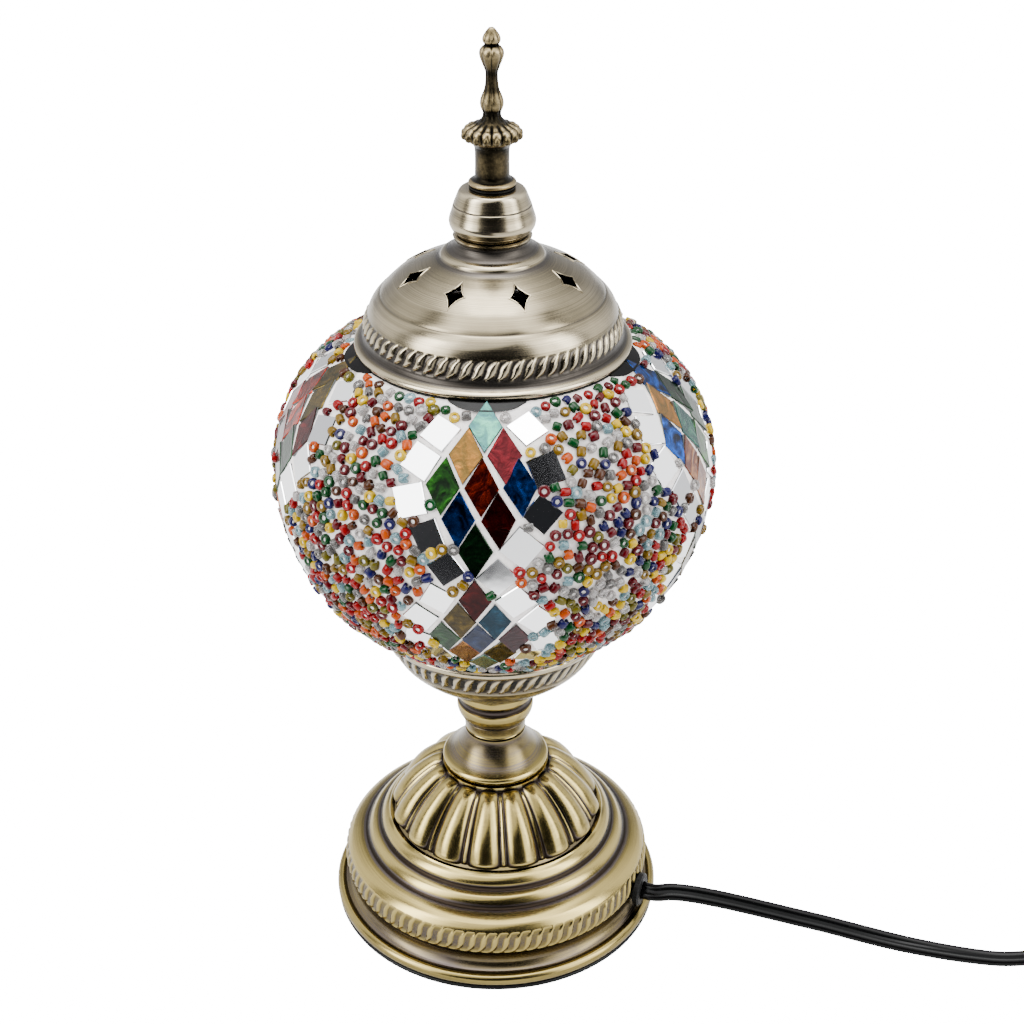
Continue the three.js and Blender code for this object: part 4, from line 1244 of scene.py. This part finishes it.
LINK = [
    (*switch_line(SWITCH_END, SWITCH_SPLIT), 0), (*switch_line(SWITCH_END + 4, SWITCH_SPLIT), 0),
    (*coil_point(-26, COIL_OUTER_R + 5.6, 5.2), 55), (*coil_point(-16, COIL_OUTER_R + 4.4, 3.9), 85),
    (*coil_point(-8, COIL_OUTER_R + 2.6, 3.6), 90),
]
SPIRAL = [
    (*coil_point(turn, COIL_OUTER_R - COIL_PITCH * turn / 360, COIL_Z), 90)
    for turn in np.arange(10, COIL_TURNS * 360 - 50, 20)
]
TAIL = [(COIL[0] + x, COIL[1] + y, z, roll) for x, y, z, roll in (
    (21, -7, 3.9, 90), (21, -1, 5.0, 85), (21, 6, 8.6, 70), (20.7, 12, 11.2, 50), (19.6, 21, 13.0, 25),
    (16.8, 29, PLUG_Z, 8), (11.8, 34, PLUG_Z, 0), (5.5, 35.8, PLUG_Z, 0), (-2, 35.6, PLUG_Z, 0),
)]
REST = np.array([*LINK, *SPIRAL, *TAIL])
rest, rest_path, rest_length = flex("flex_rest", REST[:, :3], REST[:, 3],
                                    ["cord_link", "cord_coil", "cord_tail"])


def placed(points, origin, turn):
    """Points of a part drawn about its own axes, turned about Z and moved to its place."""
    x, y, z = np.moveaxis(np.asarray(points, float), -1, 0)
    c, s = math.cos(turn), math.sin(turn)
    return np.stack([origin[0] + x * c - y * s, origin[1] + x * s + y * c, origin[2] + z], axis=-1)


def rounded_levels(long, wide, corner, levels):
    """Rings of a box with round corners, one for each height and inset."""
    rings = []
    for z, inset in levels:
        r = max(corner - inset, 0.3)
        x, y = long / 2 - inset - r, wide / 2 - inset - r
        rings.append([(cx + r * math.cos(a), cy + r * math.sin(a), z)
                      for quarter, cx, cy in ((0, x, y), (1, -x, y), (2, -x, -y), (3, x, -y))
                      for a in np.linspace(quarter, quarter + 1, 8) * math.pi / 2])
    return placed(rings, (*SWITCH, 0.0), SWITCH_TURN)


def build_switch():
    halves = []
    for name, levels, node in (("switch_lower", SWITCH_BASE, "switch_base"),
                               ("switch_upper", SWITCH_COVER, "switch_cover")):
        mesh = loft(name, rounded_levels(SWITCH_LONG, SWITCH_WIDE, SWITCH_CORNER, levels), SWITCH_BLACK)
        halves.append(own(name, mesh, "stand", [node], 40.0))
    well = rounded_levels(*WELL, 0.6, [(WELL_FLOOR, 0.0), (20.0, 0.0)])
    subtract(halves[1], in_scene("well_cutter", loft("well_cutter", well, SWITCH_BLACK)))
    return halves


def build_plug():
    """A ribbed, tapered strain relief and a body with a finger waist."""
    s = np.linspace(0.3, RELIEF_LONG, 50)
    ribs = RIB_HIGH * np.clip(2.2 * np.sin(ROUND * s / RIB_PITCH), -1, 1)
    relief = np.stack([s, 3.9 + 0.05 * s + ribs, 2.5 + 0.078 * s + ribs], axis=1)
    along, wide, thick = np.vstack([relief, spline(PLUG_BODY, 0.7)]).T[:, :, None]
    squareness = np.where(along < PLUG_BODY[0][0], 0.85, 0.55)
    angles = round_angles(48)
    y, z = (np.sign(share) * np.abs(share) ** squareness * half
            for share, half in ((np.cos(angles), wide), (np.sin(angles), thick)))
    rings = np.stack([np.repeat(along, 48, 1), y, z], axis=2)
    mesh = loft("plug_moulded", placed(rings, (*REST[-1, :2], PLUG_Z), PLUG_TURN), VINYL)
    return own("plug_moulded", mesh, "stand", ["plug_body"], 40.0)


switch_pieces = [*build_switch(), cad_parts["switch_rocker"]]
plug_pieces = [build_plug(), *(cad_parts[name] for name in ("plug_blade_left", "plug_blade_right"))]

# ------------------------------------------------------------------ finishes of the CAD nodes that stay
KEPT = [
    (STEEL, ["bottom_plate", "rod_tube", "lower_nut", "lower_washer", "cup_washer", "upper_nut",
             "riser_sleeve", "harp_frame", "stud", "stud_nut_lower", "stud_nut_upper", "bulb_tip"]),
    (BRIGHT, ["socket_screw_shell", "socket_contact", "bulb_base", "finial_insert", "plug_blade_left",
              "plug_blade_right"]),
    (RUBBER, ["cord_grommet", "bottom_gasket", "finial_washer"]),
    (IRON, ["base_weight"]),
    (PHENOLIC, ["socket_body"]),
    (BULB_GLASS, ["bulb_glass"]),
    (VINYL, ["inner_lead"]),
    (SWITCH_BLACK, ["switch_rocker"]),
]
for material, nodes in KEPT:
    for node in nodes:
        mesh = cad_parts[node].data
        mesh.materials.clear()
        mesh.materials.append(material)
        mesh.polygons.foreach_set("use_smooth", [True] * len(mesh.polygons))
        mesh.set_sharp_from_angle(angle=math.radians(32))


# ------------------------------------------------------------------ studio
# What reflections see of the room, in degrees from the front to either side, and up from level.
ROOM_BRIGHT = 2.5
VIEW_BRIGHT = 16.0  # how bright the room and the table look to the camera itself
BOX_BRIGHT = 3.0  # how much brighter the lit parts of the room look in reflections
DARK_HALF = 41.0  # from the front to each edge of the dark side
DARK_TOP = 45.0  # up to its top edge in the middle, which slopes
DARK_SLOPE = 0.45
BACK_FROM = 118.0  # where the grey back of the room starts
BACK_TOP = 52.0
FLAG_AT = 86.0  # a narrow dark flag at each side
FLAG_HALF = 11.0
FLAG_TOP = 62.0
WINDOW_AT = 56.0  # a lit wall at each side
WINDOW_HALF = 19.0
CEILING_FROM = 56.0
FLOOR_FRONT = -0.38  # metres to where the white table ends, as reflections see it
FLOOR_RIGHT = 0.09  # right of this it darkens less


def camera_only(shader, surface, glow):
    """Adds an even glow to a surface in the camera's own view, which leaves its shadows faint."""
    glowing = shader.add("AddShader", {0: surface, 1: shader.add("Emission", {"Strength": glow})})
    seen = shader.add("LightPath", {}, "Is Camera Ray")
    shader.put(shader.nodes["Material Output"].inputs["Surface"],
               shader.add("MixShader", {0: seen, 1: surface, 2: glowing}))


def make_floor():
    mesh = bpy.data.meshes.new("floor")
    mesh.from_pydata([(-6, -6, 0), (6, -6, 0), (6, 6, 0), (-6, 6, 0)], [], [(0, 1, 2, 3)])
    shader = Shader("floor")
    x, y, _z = shader.split(shader.object_coords())
    beyond = shader.ramp(shader.minus(FLOOR_FRONT, y), (0.0, (0, 0, 0)), (0.02, (1, 1, 1)))
    beside = shader.ramp(shader.minus(FLOOR_RIGHT, x), (0.0, (0.3, 0.3, 0.3)), (0.08, (1, 1, 1)))
    dark = shader.times(shader.times(beyond, beside), shader.add("LightPath", {}, "Is Glossy Ray"))
    color = shader.mix(dark, (0.90, 0.90, 0.90), (0.006, 0.006, 0.007))
    shader.set(Base_Color=color, Roughness=0.8, Specular_IOR_Level=0.1)
    camera_only(shader, shader.principled.outputs[0], VIEW_BRIGHT)
    mesh.materials.append(shader.material)
    in_scene("floor", mesh)


def make_world():
    """A bright room with a dark side behind the camera and a grey one at the back, which mirrors and metal
    pick up."""
    world = bpy.data.worlds.new("studio")
    shader = Shader(world)
    x, y, z = shader.split(shader.add("TexCoord", {}, "Generated"))
    azimuth = shader.times(shader.math("ARCTAN2", x, shader.times(y, -1.0)), math.degrees(1))
    height = shader.times(shader.math("ARCSINE", z), math.degrees(1))
    off_front = shader.math("ABSOLUTE", azimuth)

    def edge(inside, soft):
        return shader.times(inside, 1.0 / soft, clamp=True)

    def below(top, soft):
        return edge(shader.minus(top, height), soft)

    def about(middle, half, soft):
        return edge(shader.minus(half, shader.math("ABSOLUTE", shader.minus(off_front, middle))), soft)

    front = shader.times(edge(shader.minus(DARK_HALF, off_front), 4.0),
                         below(shader.plus(shader.times(azimuth, DARK_SLOPE), DARK_TOP), 5.0))
    back = shader.times(edge(shader.minus(off_front, BACK_FROM), 30.0), below(BACK_TOP, 20.0))
    flags = shader.times(about(FLAG_AT, FLAG_HALF, 5.0), below(FLAG_TOP, 8.0))
    windows = shader.times(about(WINDOW_AT, WINDOW_HALF, 6.0), edge(shader.plus(height, 2.0), 8.0))
    lit = shader.math("MAXIMUM", edge(shader.minus(height, CEILING_FROM), 12.0), windows)
    lit = shader.times(lit, shader.add("LightPath", {}, "Is Glossy Ray"))
    color = shader.mix(shader.times(back, 0.75), (1.0, 1.0, 1.0), (0.12, 0.12, 0.13))
    color = shader.mix(shader.times(flags, 0.9), color, (0.05, 0.05, 0.055))
    color = shader.mix(lit, color, (BOX_BRIGHT,) * 3)
    color = shader.mix(front, color, (0.008, 0.008, 0.009))
    color = shader.mix(shader.add("LightPath", {}, "Is Camera Ray"), color, (VIEW_BRIGHT / ROOM_BRIGHT,) * 3)
    background = shader.nodes["Background"]
    shader.put(background.inputs["Color"], color)
    shader.put(background.inputs["Strength"], ROOM_BRIGHT)
    bpy.context.scene.world = world


def softbox(name, place, aim, size, power):
    data = bpy.data.lights.new(name, "AREA")
    data.shape = "RECTANGLE"
    data.size, data.size_y = size
    data.energy = power
    light = in_scene(name, data)
    light.location = place
    light.rotation_euler = (Vector(aim) - Vector(place)).to_track_quat("-Z", "Y").to_euler()


make_floor()
make_world()
softbox("left_box", (-1.1, -0.55, 0.75), (0, 0, 0.16), (0.4, 1.1), 16)
softbox("right_box", (1.15, -0.35, 0.8), (0, 0, 0.16), (0.35, 1.1), 12)
softbox("top_box", (0.0, 0.1, 1.5), (0, 0, 0.1), (0.7, 0.7), 14)
